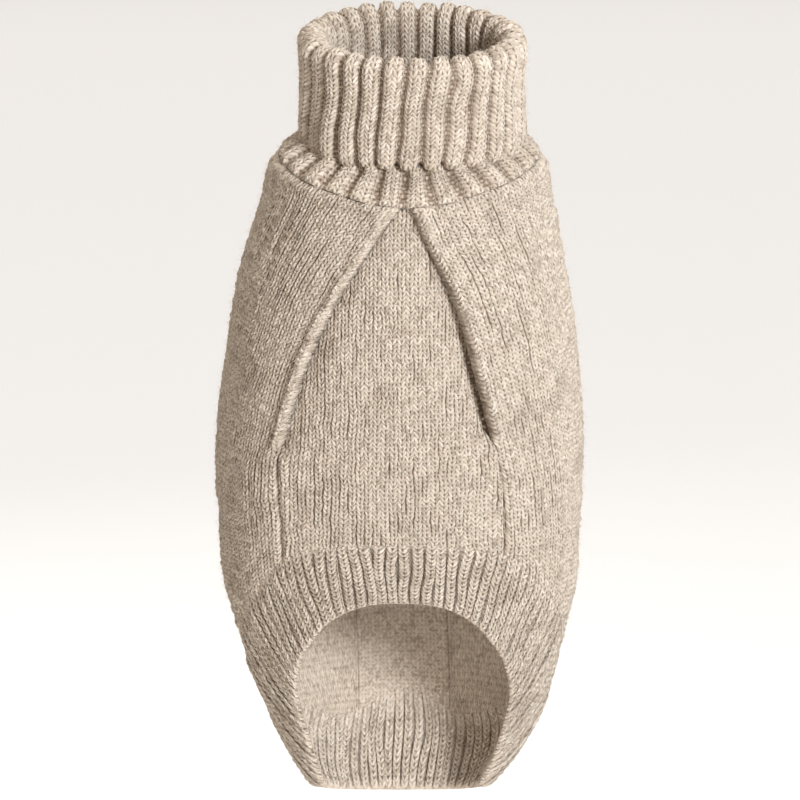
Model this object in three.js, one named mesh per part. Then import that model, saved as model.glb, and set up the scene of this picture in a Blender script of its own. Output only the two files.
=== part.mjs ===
// A knitted dog sweater with a folded roll neck, worn shape, hollow and open at the neck and the hem.
// Millimetres. +X is the right of the photo, -Y is the belly and faces the viewer, +Z is up towards the neck.
// The origin is the middle of the neck ring, level with the neckline seam at its sides.
// Angles run round the body in degrees: 0 at the belly centre, 90 on the right, 180 at the spine.
import * as THREE from "three";

// Cloth
const BODY_WALL = 3.0;
const SEAM_GAP = 0.34;
const HALF_GAP = SEAM_GAP / 2;

// Body panels
const ROWS = 22;
const SIDE_COLUMNS = 25;
const BELLY_COLUMNS = 16;
const BACK_COLUMNS = 8;
const SLIT_ROWS = 15;
const BACK_HALF_WIDTH_TOP = 19;
const BACK_HALF_WIDTH_HEM = 22.3;
const TUCK_UNDER = 8;
const BELLY_BULGE = 0.7;
const BELLY_BULGE_WIDTH = 40;
const EDGE_BEAD = 1.0;
const EDGE_BEAD_WIDTH = 5.5;

// Hem band
const HEM_RIBS = 84;
const HEM_COLUMNS_PER_RIB = 3;
const HEM_ROWS = 4;
const HEM_WALL = 2.8;
const HEM_RIB_RAISE = 1.1;
const HEM_TABLE_STEPS = 240;

// Roll neck
const NECK_RIBS = 28;
const NECK_COLUMNS_PER_RIB = 4;
const NECK_RIB_RAISE = 1.3;
const NECK_CREST_MEAN = 58.2;
const NECK_CREST_TILT = 5.8;
const TURNOVER_EDGE_MEAN = 11.0;
const TURNOVER_EDGE_TILT = 1.8;
const NECK_FOOT_WALL = 2.8;

const OATMEAL = 0xc9b9a4;
const KNIT_ROUGHNESS = 0.95;

// The filled body, a row for each level: middle, half width, and depth to the belly and to the spine.
const BODY = [
  { z: -310, middleX: 0.0, halfWidth: 32.4, middleY: 22, belly: 25.4, spine: 14.4 },
  { z: -294, middleX: 0.6, halfWidth: 43.8, middleY: 20, belly: 31.0, spine: 21.0 },
  { z: -278, middleX: 1.8, halfWidth: 53.7, middleY: 17, belly: 36.0, spine: 28.0 },
  { z: -258, middleX: 2.0, halfWidth: 61.9, middleY: 13, belly: 40.5, spine: 35.5 },
  { z: -236, middleX: 1.4, halfWidth: 69.6, middleY: 9, belly: 43.5, spine: 41.0 },
  { z: -212, middleX: 0.5, halfWidth: 75.4, middleY: 5, belly: 45.5, spine: 46.5 },
  { z: -191, middleX: 0.2, halfWidth: 79.9, middleY: 2, belly: 48.5, spine: 50.5 },
  { z: -165, middleX: -0.4, halfWidth: 81.8, middleY: 0, belly: 53.5, spine: 53.0 },
  { z: -125, middleX: -0.2, halfWidth: 82.2, middleY: 0, belly: 58.0, spine: 53.5 },
  { z: -80, middleX: 0.9, halfWidth: 77.9, middleY: 0, belly: 57.5, spine: 52.5 },
  { z: -40, middleX: 1.6, halfWidth: 70.8, middleY: 0, belly: 53.5, spine: 50.5 },
  { z: -14, middleX: 3.1, halfWidth: 64.3, middleY: 0, belly: 49.5, spine: 48.0 },
  { z: -5, middleX: 3.2, halfWidth: 62.9, middleY: 0, belly: 48.2, spine: 46.8 },
  { z: 0, middleX: 3.4, halfWidth: 61.4, middleY: 0, belly: 46.8, spine: 45.6 },
  { z: 4, middleX: 3.9, halfWidth: 58.4, middleY: 0, belly: 45.4, spine: 44.4 },
  { z: 9, middleX: 4.0, halfWidth: 54.6, middleY: 0, belly: 43.6, spine: 42.6 },
];

// Level of the neckline seam round the body, the same on both sides.
const NECKLINE = [
  { angle: 0, z: -9.2 },
  { angle: 9, z: -8.2 },
  { angle: 17, z: -7.4 },
  { angle: 26, z: -5.2 },
  { angle: 36, z: -3.0 },
  { angle: 48, z: -0.6 },
  { angle: 62, z: 2.4 },
  { angle: 80, z: 4.3 },
  { angle: 110, z: 5.6 },
  { angle: 145, z: 6.6 },
  { angle: 180, z: 7.0 },
];

// Where the panels end and the hem rib starts.
const HEM_TOP = [
  { angle: 0, z: -159.8 },
  { angle: 20, z: -161.9 },
  { angle: 31, z: -165.4 },
  { angle: 38, z: -170.0 },
  { angle: 44, z: -177.0 },
  { angle: 50, z: -184.4 },
  { angle: 56, z: -191.0 },
  { angle: 66, z: -201.2 },
  { angle: 80, z: -216.5 },
  { angle: 95, z: -235.5 },
  { angle: 110, z: -251.5 },
  { angle: 125, z: -262.5 },
  { angle: 140, z: -269.5 },
  { angle: 153, z: -271.0 },
  { angle: 164, z: -266.6 },
  { angle: 173, z: -261.6 },
  { angle: 180, z: -260.4 },
];

// The edge of the lower opening, high at the belly, running down the sides and under the rump.
const HEM_EDGE = [
  { angle: 0, z: -189.9 },
  { angle: 9, z: -191.0 },
  { angle: 17.2, z: -195.0 },
  { angle: 25.4, z: -202.4 },
  { angle: 32.3, z: -212.0 },
  { angle: 38.9, z: -222.5 },
  { angle: 44.8, z: -237.5 },
  { angle: 47.4, z: -250.0 },
  { angle: 48.4, z: -262.0 },
  { angle: 49.6, z: -276.0 },
  { angle: 52.4, z: -288.0 },
  { angle: 58, z: -294.4 },
  { angle: 70, z: -297.3 },
  { angle: 90, z: -300.8 },
  { angle: 120, z: -304.4 },
  { angle: 150, z: -306.6 },
  { angle: 180, z: -307.4 },
];

// Front edge of each side panel, by share of the way from neckline to hem rib.
// It is the free edge of a leg opening down to the last slit row, and a seam with the belly below it.
const LEFT_FRONT_EDGE = [
  { share: 0.0, angle: -2.2 },
  { share: 0.07, angle: -8.6 },
  { share: 0.17, angle: -15.9 },
  { share: 0.28, angle: -23.2 },
  { share: 0.36, angle: -27.7 },
  { share: 0.5, angle: -34.2 },
  { share: 0.58, angle: -36.9 },
  { share: 0.65, angle: -38.6 },
  { share: 0.69, angle: -40.4 },
  { share: 0.77, angle: -40.8 },
  { share: 0.86, angle: -39.9 },
  { share: 1.0, angle: -39.9 },
];
const RIGHT_FRONT_EDGE = [
  { share: 0.0, angle: 1.0 },
  { share: 0.1, angle: 7.0 },
  { share: 0.15, angle: 10.4 },
  { share: 0.23, angle: 15.4 },
  { share: 0.33, angle: 19.8 },
  { share: 0.49, angle: 24.4 },
  { share: 0.57, angle: 26.9 },
  { share: 0.64, angle: 29.0 },
  { share: 0.69, angle: 30.6 },
  { share: 0.76, angle: 32.9 },
  { share: 0.84, angle: 34.4 },
  { share: 0.92, angle: 35.1 },
  { share: 1.0, angle: 35.3 },
];

// How far the belly lies in under a side panel, and how much of it is tucked there, by share of the slit.
const TUCK = [
  { share: 0.0, depth: 3.4, width: 1.0 },
  { share: 0.2, depth: 4.6, width: 1.0 },
  { share: 0.5, depth: 5.6, width: 1.0 },
  { share: 0.8, depth: 5.0, width: 1.0 },
  { share: 0.93, depth: 3.9, width: 0.8 },
  { share: 1.0, depth: 3.4, width: 0.0 },
  { share: 1.09, depth: 1.4, width: 0.0 },
  { share: 1.2, depth: 0.3, width: 0.0 },
  { share: 1.45, depth: 0.0, width: 0.0 },
];

// The roll neck's section: from the foot's inside, up, over the fold and down the outside, then back along
// the hidden face to the foot's outside. Face A is the cloth's right side, which faces in on the tube.
// rise: share of the height from foot to crest, or from turnover edge to crest once it is folded over.
// out: distance outside the tube's inner face. flare: share of the foot's spread to the neckline.
// ribOut and ribUp: which way a rib's raise goes there, and how much of it.
const NECK_SECTION = [
  { part: "tube", rise: 0.0, out: 0.0, flare: 1.0, ribOut: -0.5, ribUp: 0, face: "A" },
  { part: "tube", rise: 0.07, out: 0.0, flare: 0.6, ribOut: -1, ribUp: 0, face: "A" },
  { part: "tube", rise: 0.16, out: 0.0, flare: 0.17, ribOut: -1, ribUp: 0, face: "A" },
  { part: "tube", rise: 0.3, out: 0.0, flare: 0, ribOut: -1, ribUp: 0, face: "A" },
  { part: "tube", rise: 0.6, out: -0.3, flare: 0, ribOut: -1, ribUp: 0, face: "A" },
  { part: "tube", rise: 0.86, out: -0.1, flare: 0, ribOut: -1, ribUp: 0, face: "A" },
  { part: "tube", rise: 0.96, out: 1.3, flare: 0, ribOut: -0.7, ribUp: 0.7, face: "A" },
  { part: "tube", rise: 1.0, out: 4.0, flare: 0, ribOut: 0, ribUp: 1, face: "A" },
  { part: "over", rise: 0.98, out: 6.9, flare: 0, ribOut: 0.7, ribUp: 0.7, face: "A" },
  { part: "over", rise: 0.9, out: 8.9, flare: 0, ribOut: 1, ribUp: 0, face: "A" },
  { part: "over", rise: 0.62, out: 7.2, flare: 0, ribOut: 1, ribUp: 0, face: "A" },
  { part: "over", rise: 0.32, out: 8.0, flare: 0, ribOut: 1, ribUp: 0, face: "A" },
  { part: "over", rise: 0.1, out: 7.8, flare: 0, ribOut: 1, ribUp: 0, face: "A" },
  { part: "over", rise: 0.0, out: 6.6, flare: 0, ribOut: 0.6, ribUp: -0.4, face: "A" },
  { part: "over", rise: 0.0, out: 4.6, flare: 0, ribOut: 0, ribUp: 0, face: "B" },
  { part: "over", rise: 0.32, out: 4.9, flare: 0, ribOut: 0, ribUp: 0, face: "B" },
  { part: "over", rise: 0.62, out: 4.4, flare: 0, ribOut: 0, ribUp: 0, face: "B" },
  { part: "over", rise: 0.86, out: 4.9, flare: 0, ribOut: 0, ribUp: 0, face: "B" },
  { part: "tube", rise: 0.9, out: 3.6, flare: 0, ribOut: 0, ribUp: 0, face: "B" },
  { part: "tube", rise: 0.82, out: 2.7, flare: 0, ribOut: 0, ribUp: 0, face: "B" },
  { part: "tube", rise: 0.6, out: 2.5, flare: 0, ribOut: 0, ribUp: 0, face: "B" },
  { part: "tube", rise: 0.32, out: 2.6, flare: 0, ribOut: 0.4, ribUp: 0, face: "B" },
  { part: "tube", rise: 0.17, out: 2.6, flare: 0.16, ribOut: 1, ribUp: 0, face: "B" },
  { part: "tube", rise: 0.08, out: 2.7, flare: 0.57, ribOut: 1, ribUp: 0, face: "B" },
  { part: "tube", rise: 0.0, out: 2.8, flare: 1.0, ribOut: 0.5, ribUp: 0, face: "B" },
];
// The neck tube's inner face, an ellipse.
const NECK_TUBE = { middleX: 5.8, halfWidth: 39.9, middleY: -0.5, halfDepth: 33.5 };

const radians = THREE.MathUtils.degToRad;

// A smooth reading of one column of a table whose rows rise by another column.
function readSmooth(table, along, column, value) {
  const last = table.length - 1;
  const at = Math.min(Math.max(value, table[0][along]), table[last][along]);
  let low = 0;
  while (low < last - 1 && table[low + 1][along] < at) low += 1;
  const slope = (row) => {
    const before = table[Math.max(row - 1, 0)];
    const after = table[Math.min(row + 1, last)];
    return (after[column] - before[column]) / (after[along] - before[along]);
  };
  const from = table[low];
  const to = table[low + 1];
  const step = to[along] - from[along];
  const t = (at - from[along]) / step;
  const t2 = t * t;
  const t3 = t2 * t;
  return (
    (2 * t3 - 3 * t2 + 1) * from[column] +
    (t3 - 2 * t2 + t) * step * slope(low) +
    (3 * t2 - 2 * t3) * to[column] +
    (t3 - t2) * step * slope(low + 1)
  );
}

const mix = THREE.MathUtils.lerp;

// A point on the outside of the filled body.
function bodyPoint(angle, z) {
  const read = (column) => readSmooth(BODY, "z", column, z);
  const turn = radians(angle);
  const depth = Math.cos(turn) > 0 ? read("belly") : read("spine");
  return new THREE.Vector3(
    read("middleX") + read("halfWidth") * Math.sin(turn),
    read("middleY") - depth * Math.cos(turn),
    z,
  );
}

const PROBE_ANGLE = 0.5;
const PROBE_Z = 0.5;

function bodyAround(angle, z) {
  return bodyPoint(angle + PROBE_ANGLE, z).sub(bodyPoint(angle - PROBE_ANGLE, z)).divideScalar(2 * PROBE_ANGLE);
}

function bodyUp(angle, z) {
  return bodyPoint(angle, z + PROBE_Z).sub(bodyPoint(angle, z - PROBE_Z)).divideScalar(2 * PROBE_Z);
}

// A point on the body, moved out by a distance along the surface's own normal, or in if it is negative.
function bodyShell(angle, z, out) {
  const outward = bodyAround(angle, z).cross(bodyUp(angle, z)).normalize();
  return bodyPoint(angle, z).addScaledVector(outward, out);
}

function degreesAt(angle, z, millimetres) {
  return millimetres / bodyAround(angle, z).length();
}

const necklineZ = (angle) => readSmooth(NECKLINE, "angle", "z", Math.abs(angle));
const hemTopZ = (angle) => readSmooth(HEM_TOP, "angle", "z", Math.abs(angle));

// Level of a row of the panels at an angle, with the seam gap left at the neckline and at the hem rib.
function rowZ(angle, share) {
  return mix(necklineZ(angle) - HALF_GAP, hemTopZ(angle) + HALF_GAP, share);
}

const leftEdge = (share) => readSmooth(LEFT_FRONT_EDGE, "share", "angle", share);
const rightEdge = (share) => readSmooth(RIGHT_FRONT_EDGE, "share", "angle", share);

// The spine panel's seam is a set distance from the spine, so its angle follows the body's width.
function backSeam(share) {
  const half = mix(BACK_HALF_WIDTH_TOP, BACK_HALF_WIDTH_HEM, share);
  let angle = 155;
  for (let pass = 0; pass < 4; pass += 1) {
    const width = readSmooth(BODY, "z", "halfWidth", rowZ(angle, share));
    angle = 180 - THREE.MathUtils.radToDeg(Math.asin(half / width));
  }
  return angle;
}

// One closed mesh from a list of vertices and triangles, turned to face out.
function closedMesh(name, points, triangles) {
  let volume = 0;
  for (const [a, b, c] of triangles) {
    volume += points[a].dot(new THREE.Vector3().crossVectors(points[b], points[c]));
  }
  const faces = volume < 0 ? triangles.map(([a, b, c]) => [a, c, b]) : triangles;
  const geometry = new THREE.BufferGeometry();
  geometry.setAttribute("position", new THREE.Float32BufferAttribute(points.flatMap((p) => p.toArray()), 3));
  geometry.setIndex(faces.flat());
  geometry.computeVertexNormals();
  const material = new THREE.MeshStandardMaterial({ color: OATMEAL, roughness: KNIT_ROUGHNESS, metalness: 0 });
  const mesh = new THREE.Mesh(geometry, material);
  mesh.name = name;
  return mesh;
}

// A panel of cloth: an outer and an inner sheet of rows and columns, closed by rims round its four edges.
function panel(name, rows, columns, place) {
  const width = columns + 1;
  const sheet = (rows + 1) * width;
  const points = [];
  for (const face of [0, 1]) {
    for (let row = 0; row <= rows; row += 1) {
      for (let column = 0; column <= columns; column += 1) points.push(place(row, column, face));
    }
  }
  const at = (row, column, face) => face * sheet + row * width + column;
  const triangles = [];
  const quad = (a, b, c, d) => triangles.push([a, b, c], [a, c, d]);
  for (let row = 0; row < rows; row += 1) {
    for (let column = 0; column < columns; column += 1) {
      quad(at(row, column, 0), at(row + 1, column, 0), at(row + 1, column + 1, 0), at(row, column + 1, 0));
      quad(at(row, column, 1), at(row, column + 1, 1), at(row + 1, column + 1, 1), at(row + 1, column, 1));
    }
  }
  for (let column = 0; column < columns; column += 1) {
    quad(at(0, column, 0), at(0, column + 1, 0), at(0, column + 1, 1), at(0, column, 1));
    quad(at(rows, column, 0), at(rows, column, 1), at(rows, column + 1, 1), at(rows, column + 1, 0));
  }
  for (let row = 0; row < rows; row += 1) {
    quad(at(row, 0, 0), at(row, 0, 1), at(row + 1, 0, 1), at(row + 1, 0, 0));
    quad(at(row, columns, 0), at(row + 1, columns, 0), at(row + 1, columns, 1), at(row, columns, 1));
  }
  return closedMesh(name, points, triangles);
}

// A band of cloth: a closed section of points carried round in closed columns.
function ring(name, columns, sectionLength, place) {
  const points = [];
  for (let column = 0; column < columns; column += 1) {
    for (let point = 0; point < sectionLength; point += 1) points.push(place(column, point));
  }
  const at = (column, point) => (column % columns) * sectionLength + (point % sectionLength);
  const triangles = [];
  for (let column = 0; column < columns; column += 1) {
    for (let point = 0; point < sectionLength; point += 1) {
      const a = at(column, point);
      const b = at(column + 1, point);
      const c = at(column + 1, point + 1);
      const d = at(column, point + 1);
      triangles.push([a, b, c], [a, c, d]);
    }
  }
  return closedMesh(name, points, triangles);
}

const rowShare = (row) => row / ROWS;
const slitShare = (share) => share / rowShare(SLIT_ROWS);

// Rounded bead along the free edge of a leg opening, fading out below the slit's end.
function edgeBead(share, fromEdge) {
  const fade = THREE.MathUtils.clamp((1.06 - slitShare(share)) / 0.12, 0, 1);
  const across = THREE.MathUtils.clamp(1 - fromEdge / EDGE_BEAD_WIDTH, 0, 1);
  return EDGE_BEAD * fade * Math.sin(Math.PI * Math.sqrt(across) * 0.72);
}

// Columns crowd towards the free edge, where the bead is.
const SIDE_EDGE_STEPS = [0, 1.4, 3.2, 5.6, 9.5];

function sidePanel(name, sign, edgeOf) {
  const near = SIDE_EDGE_STEPS.length - 1;
  return panel(name, ROWS, SIDE_COLUMNS, (row, column, face) => {
    const share = rowShare(row);
    const edge = edgeOf(share);
    const edgeZ = rowZ(edge, share);
    const front = edge + sign * degreesAt(edge, edgeZ, HALF_GAP);
    const seam = sign * backSeam(share);
    const back = seam - sign * degreesAt(seam, rowZ(seam, share), HALF_GAP);
    const perMm = sign * degreesAt(edge, edgeZ, 1);
    const plain = front + perMm * SIDE_EDGE_STEPS[near];
    const angle =
      column <= near
        ? front + perMm * SIDE_EDGE_STEPS[column]
        : mix(plain, back, (column - near) / (SIDE_COLUMNS - near));
    const z = rowZ(angle, share);
    const bead = edgeBead(share, Math.abs((angle - front) / perMm));
    return bodyShell(angle, z, face === 0 ? bead : -BODY_WALL);
  });
}

function bellyPanel(name) {
  return panel(name, ROWS, BELLY_COLUMNS, (row, column, face) => {
    const share = rowShare(row);
    const slit = Math.min(slitShare(share), TUCK[TUCK.length - 1].share);
    const tuckWidth = TUCK_UNDER * readSmooth(TUCK, "share", "width", slit);
    const tuckDepth = readSmooth(TUCK, "share", "depth", slit);
    const left = leftEdge(share);
    const right = rightEdge(share);
    const leftPerMm = degreesAt(left, rowZ(left, share), 1);
    const rightPerMm = degreesAt(right, rowZ(right, share), 1);
    const tuckMm = row <= SLIT_ROWS ? Math.max(tuckWidth, 0) - HALF_GAP : -HALF_GAP;
    const from = left - leftPerMm * tuckMm;
    const to = right + rightPerMm * tuckMm;
    const angle = mix(from, to, column / BELLY_COLUMNS);
    const across = (2 * (angle - left)) / (right - left) - 1;
    const crown = 1 - Math.min(Math.abs(across), 1) ** 3;
    const open = THREE.MathUtils.clamp((right - left) / leftPerMm / BELLY_BULGE_WIDTH, 0, 1);
    const inset = tuckDepth * (1 - BELLY_BULGE * crown * open);
    const z = rowZ(angle, share);
    return bodyShell(angle, z, -inset - (face === 0 ? 0 : BODY_WALL));
  });
}

function backPanel(name) {
  return panel(name, ROWS, BACK_COLUMNS, (row, column, face) => {
    const share = rowShare(row);
    const seam = backSeam(share);
    const edge = seam + degreesAt(seam, rowZ(seam, share), HALF_GAP);
    const angle = mix(edge, 360 - edge, column / BACK_COLUMNS);
    const signed = angle > 180 ? angle - 360 : angle;
    return bodyShell(angle, rowZ(signed, share), face === 0 ? 0 : -BODY_WALL);
  });
}

// A seam or edge line walked from belly to spine, read back by its share of the length.
function walkedLine(table) {
  const steps = [];
  let length = 0;
  let before = null;
  for (let step = 0; step <= HEM_TABLE_STEPS; step += 1) {
    const along = (step / HEM_TABLE_STEPS) * (table.length - 1);
    const indexed = table.map((row, index) => ({ ...row, index }));
    const angle = readSmooth(indexed, "index", "angle", along);
    const z = readSmooth(indexed, "index", "z", along);
    const point = bodyPoint(angle, z);
    if (before) length += point.distanceTo(before);
    before = point;
    steps.push({ length, angle, z });
  }
  return (share) => ({
    angle: readSmooth(steps, "length", "angle", share * length),
    z: readSmooth(steps, "length", "z", share * length),
  });
}

function hemBand(name) {
  const top = walkedLine(HEM_TOP);
  const edge = walkedLine(HEM_EDGE);
  const columns = HEM_RIBS * HEM_COLUMNS_PER_RIB;
  const sectionLength = 2 * (HEM_ROWS + 1);
  return ring(name, columns, sectionLength, (column, point) => {
    const outside = point <= HEM_ROWS;
    const row = outside ? point : sectionLength - 1 - point;
    const down = row / HEM_ROWS;
    const round = (2 * column) / columns;
    const share = round <= 1 ? round : 2 - round;
    const sign = round <= 1 ? 1 : -1;
    const start = top(share);
    const startZ = hemTopZ(start.angle) - HALF_GAP;
    const end = edge(share);
    const angle = mix(start.angle, end.angle, down);
    const z = mix(startZ, end.z, down);
    const raised = column % HEM_COLUMNS_PER_RIB !== 0;
    const out = outside ? (raised ? HEM_RIB_RAISE : 0) : -HEM_WALL;
    return bodyShell(sign * angle, z, out);
  });
}

function rollNeck(name) {
  const columns = NECK_RIBS * NECK_COLUMNS_PER_RIB;
  return ring(name, columns, NECK_SECTION.length, (column, point) => {
    const row = NECK_SECTION[point];
    const angle = (column / columns) * 360 - 180;
    const turn = radians(angle);
    const front = Math.cos(turn);
    const phase = column % NECK_COLUMNS_PER_RIB;
    const ridge = phase < NECK_COLUMNS_PER_RIB / 2;
    const raise = ridge === (row.face === "A") ? NECK_RIB_RAISE : 0;
    const footZ = necklineZ(angle) + HALF_GAP;
    const crestZ = NECK_CREST_MEAN - NECK_CREST_TILT * front;
    const edgeZ = TURNOVER_EDGE_MEAN - TURNOVER_EDGE_TILT * front;
    const z = mix(row.part === "tube" ? footZ : edgeZ, crestZ, row.rise) + raise * row.ribUp;
    const out = row.out + raise * row.ribOut;
    const tube = new THREE.Vector3(
      NECK_TUBE.middleX + (NECK_TUBE.halfWidth + out) * Math.sin(turn),
      NECK_TUBE.middleY - (NECK_TUBE.halfDepth + out) * front,
      z,
    );
    const foot = bodyShell(angle, necklineZ(angle), out - NECK_FOOT_WALL);
    return new THREE.Vector3(mix(tube.x, foot.x, row.flare), mix(tube.y, foot.y, row.flare), z);
  });
}

const sweater = new THREE.Group();
sweater.name = "dog_sweater";
sweater.add(rollNeck("roll_neck"));
sweater.add(bellyPanel("belly_panel"));
sweater.add(sidePanel("side_panel_left", -1, leftEdge));
sweater.add(sidePanel("side_panel_right", 1, rightEdge));
sweater.add(backPanel("back_panel"));
sweater.add(hemBand("hem_band"));

export default sweater;
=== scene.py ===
"""Dresses the knitted dog sweater: rib and stockinette pieces over the solids, their wool, light and view."""

import math

import bmesh
import bpy
import numpy as np
from bpy.props import FloatProperty, FloatVectorProperty, IntProperty, PointerProperty
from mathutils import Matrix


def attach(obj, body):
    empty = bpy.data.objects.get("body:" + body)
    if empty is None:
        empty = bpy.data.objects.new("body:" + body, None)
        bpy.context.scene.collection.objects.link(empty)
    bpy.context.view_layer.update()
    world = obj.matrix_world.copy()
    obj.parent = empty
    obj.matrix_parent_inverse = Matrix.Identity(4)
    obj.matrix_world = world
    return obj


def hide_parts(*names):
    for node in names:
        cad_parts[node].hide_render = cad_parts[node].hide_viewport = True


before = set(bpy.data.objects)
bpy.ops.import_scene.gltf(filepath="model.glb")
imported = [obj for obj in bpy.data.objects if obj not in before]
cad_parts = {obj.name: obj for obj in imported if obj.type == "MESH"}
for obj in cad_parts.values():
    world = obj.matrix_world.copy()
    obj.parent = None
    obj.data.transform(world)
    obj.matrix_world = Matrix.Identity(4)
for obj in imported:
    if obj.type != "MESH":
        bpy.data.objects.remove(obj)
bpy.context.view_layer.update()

bl_info = {
    "name": "Knitted dog sweater",
    "version": (1, 0, 0),
    "blender": (4, 5, 0),
    "location": "View3D > Sidebar > Sweater",
    "description": "Knits a roll neck dog sweater piece by piece over its solid model",
    "category": "Object",
}

MM = 0.001

# The filled body in millimetres, by level.
# Level, middle across, half width, middle front to back, depth to the belly, depth to the spine.
BODY = np.array([
    (-310, 0.0, 32.4, 22, 25.4, 14.4),
    (-294, 0.6, 43.8, 20, 31.0, 21.0),
    (-278, 1.8, 53.7, 17, 36.0, 28.0),
    (-258, 2.0, 61.9, 13, 40.5, 35.5),
    (-236, 1.4, 69.6, 9, 43.5, 41.0),
    (-212, 0.5, 75.4, 5, 45.5, 46.5),
    (-191, 0.2, 79.9, 2, 48.5, 50.5),
    (-165, -0.4, 81.8, 0, 53.5, 53.0),
    (-125, -0.2, 82.2, 0, 58.0, 53.5),
    (-80, 0.9, 77.9, 0, 57.5, 52.5),
    (-40, 1.6, 70.8, 0, 53.5, 50.5),
    (-14, 3.1, 64.3, 0, 49.5, 48.0),
    (-5, 3.2, 62.9, 0, 48.2, 46.8),
    (0, 3.4, 61.4, 0, 46.8, 45.6),
    (4, 3.9, 58.4, 0, 45.4, 44.4),
    (9, 4.0, 54.6, 0, 43.6, 42.6),
])

# Angle from the belly's centre, and level, along the neckline, the hem rib's top and the hem's edge.
NECKLINE = np.array([
    (0, -9.2), (9, -8.2), (17, -7.4), (26, -5.2), (36, -3.0), (48, -0.6),
    (62, 2.4), (80, 4.3), (110, 5.6), (145, 6.6), (180, 7.0),
])
HEM_TOP = np.array([
    (0, -159.8), (20, -161.9), (31, -165.4), (38, -170.0), (44, -177.0), (50, -184.4),
    (56, -191.0), (66, -201.2), (80, -216.5), (95, -235.5), (110, -251.5), (125, -262.5),
    (140, -269.5), (153, -271.0), (164, -266.6), (173, -261.6), (180, -260.4),
])
HEM_EDGE = np.array([
    (0, -189.9), (9, -191.0), (17.2, -195.0), (25.4, -202.4), (32.3, -212.0), (38.9, -222.5),
    (44.8, -237.5), (47.4, -250.0), (48.4, -262.0), (49.6, -276.0), (52.4, -288.0), (58, -294.4),
    (70, -297.3), (90, -300.8), (120, -304.4), (150, -306.6), (180, -307.4),
])

# Front edge of each side panel: share of the way from neckline to hem rib, and angle.
LEFT_EDGE = np.array([
    (0.0, -2.2), (0.07, -8.6), (0.17, -15.9), (0.28, -23.2), (0.36, -27.7), (0.5, -34.2),
    (0.58, -36.9), (0.65, -38.6), (0.69, -40.4), (0.77, -40.8), (0.86, -39.9), (1.0, -39.9),
])
RIGHT_EDGE = np.array([
    (0.0, 1.0), (0.1, 7.0), (0.15, 10.4), (0.23, 15.4), (0.33, 19.8), (0.49, 24.4), (0.57, 26.9),
    (0.64, 29.0), (0.69, 30.6), (0.76, 32.9), (0.84, 34.4), (0.92, 35.1), (1.0, 35.3),
])
# Share of the way down at which the slit of a leg opening ends.
SLIT_END = 15 / 22

# How deep the belly lies under a side panel, and how much is tucked there, by share of the slit.
TUCK = np.array([
    (0.0, 3.4, 1.0), (0.2, 4.6, 1.0), (0.5, 5.6, 1.0), (0.8, 5.0, 1.0), (0.93, 4.3, 0.8),
    (1.0, 3.4, 0.0), (1.035, 0.3, 0.0), (1.07, -0.7, 0.0), (1.15, -0.3, 0.0), (1.25, 0.0, 0.0),
    (1.45, 0.0, 0.0),
])
TUCK_UNDER = 8.0
TUCK_ENDS = 0.995

# Share of the slit from which the front edge is sewn to the belly, and how soon it closes.
SEWN_FROM = 1.035
SEWN_OVER = 0.03

# The rolled front edge: how far its round reaches in, its low outer lip and its height over that.
ROLL_WIDTH = 3.5
ROLL_LIP = -1.2
ROLL_HEIGHT = 3.4

# The belly's stitches before they are cut to shape: width, middle across, top and bottom.
BELLY_WIDTH = 124.0
BELLY_MIDDLE = 0.6
BELLY_TOP = -6.0
BELLY_BOTTOM = -174.0

# Half the spine panel's width at the neckline and at the hem rib.
BACK_HALF_TOP = 19.0
BACK_HALF_HEM = 22.3

# The roll neck's section, from the foot's inside up, over and down, and back along the hidden face.
# Turned over (1) or not (0), share of the height, distance out from the tube's inside, share of the flare.
NECK_SECTION = np.array([
    (0, 0.0, -0.4, 1.0), (0, 0.07, 0.0, 0.6), (0, 0.16, 0.0, 0.17), (0, 0.3, 0.0, 0.0), (0, 0.6, -0.3, 0.0),
    (0, 0.86, -0.1, 0.0), (0, 0.96, 1.3, 0.0), (0, 1.0, 4.0, 0.0), (1, 0.98, 6.9, 0.0), (1, 0.9, 8.6, 0.0),
    (1, 0.62, 7.4, 0.0), (1, 0.32, 7.8, 0.0), (1, 0.1, 8.2, 0.0), (1, 0.0, 7.0, 0.0), (1, 0.0, 5.2, 0.0),
    (1, 0.1, 4.8, 0.0), (1, 0.32, 4.9, 0.0), (1, 0.62, 4.4, 0.0), (1, 0.86, 4.9, 0.0), (0, 0.9, 3.6, 0.0),
    (0, 0.82, 2.7, 0.0), (0, 0.6, 2.5, 0.0), (0, 0.32, 2.6, 0.0), (0, 0.17, 2.6, 0.22), (0, 0.08, 3.0, 0.64),
    (0, 0.0, 2.7, 1.0),
])

# Rows of the section at the crest, the turnover's edge, and the hidden face's start and end.
NECK_CREST_ROW = 7.0
NECK_EDGE_ROW = 13.5
NECK_HIDDEN_ROW = 15.0
NECK_FOOT_ROW = 22.3

# The tube's middle and half widths, across and front to back, and the cloth's thickness at its foot.
NECK_MIDDLE = (5.8, -0.5)
NECK_HALF = (39.9, 33.5)
NECK_FOOT_WALL = 2.8

# Level of the crest and of the turnover's edge at the sides, and how far each drops to the belly.
NECK_CREST = (58.2, 5.8)
NECK_EDGE = (11.0, 1.8)

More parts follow.
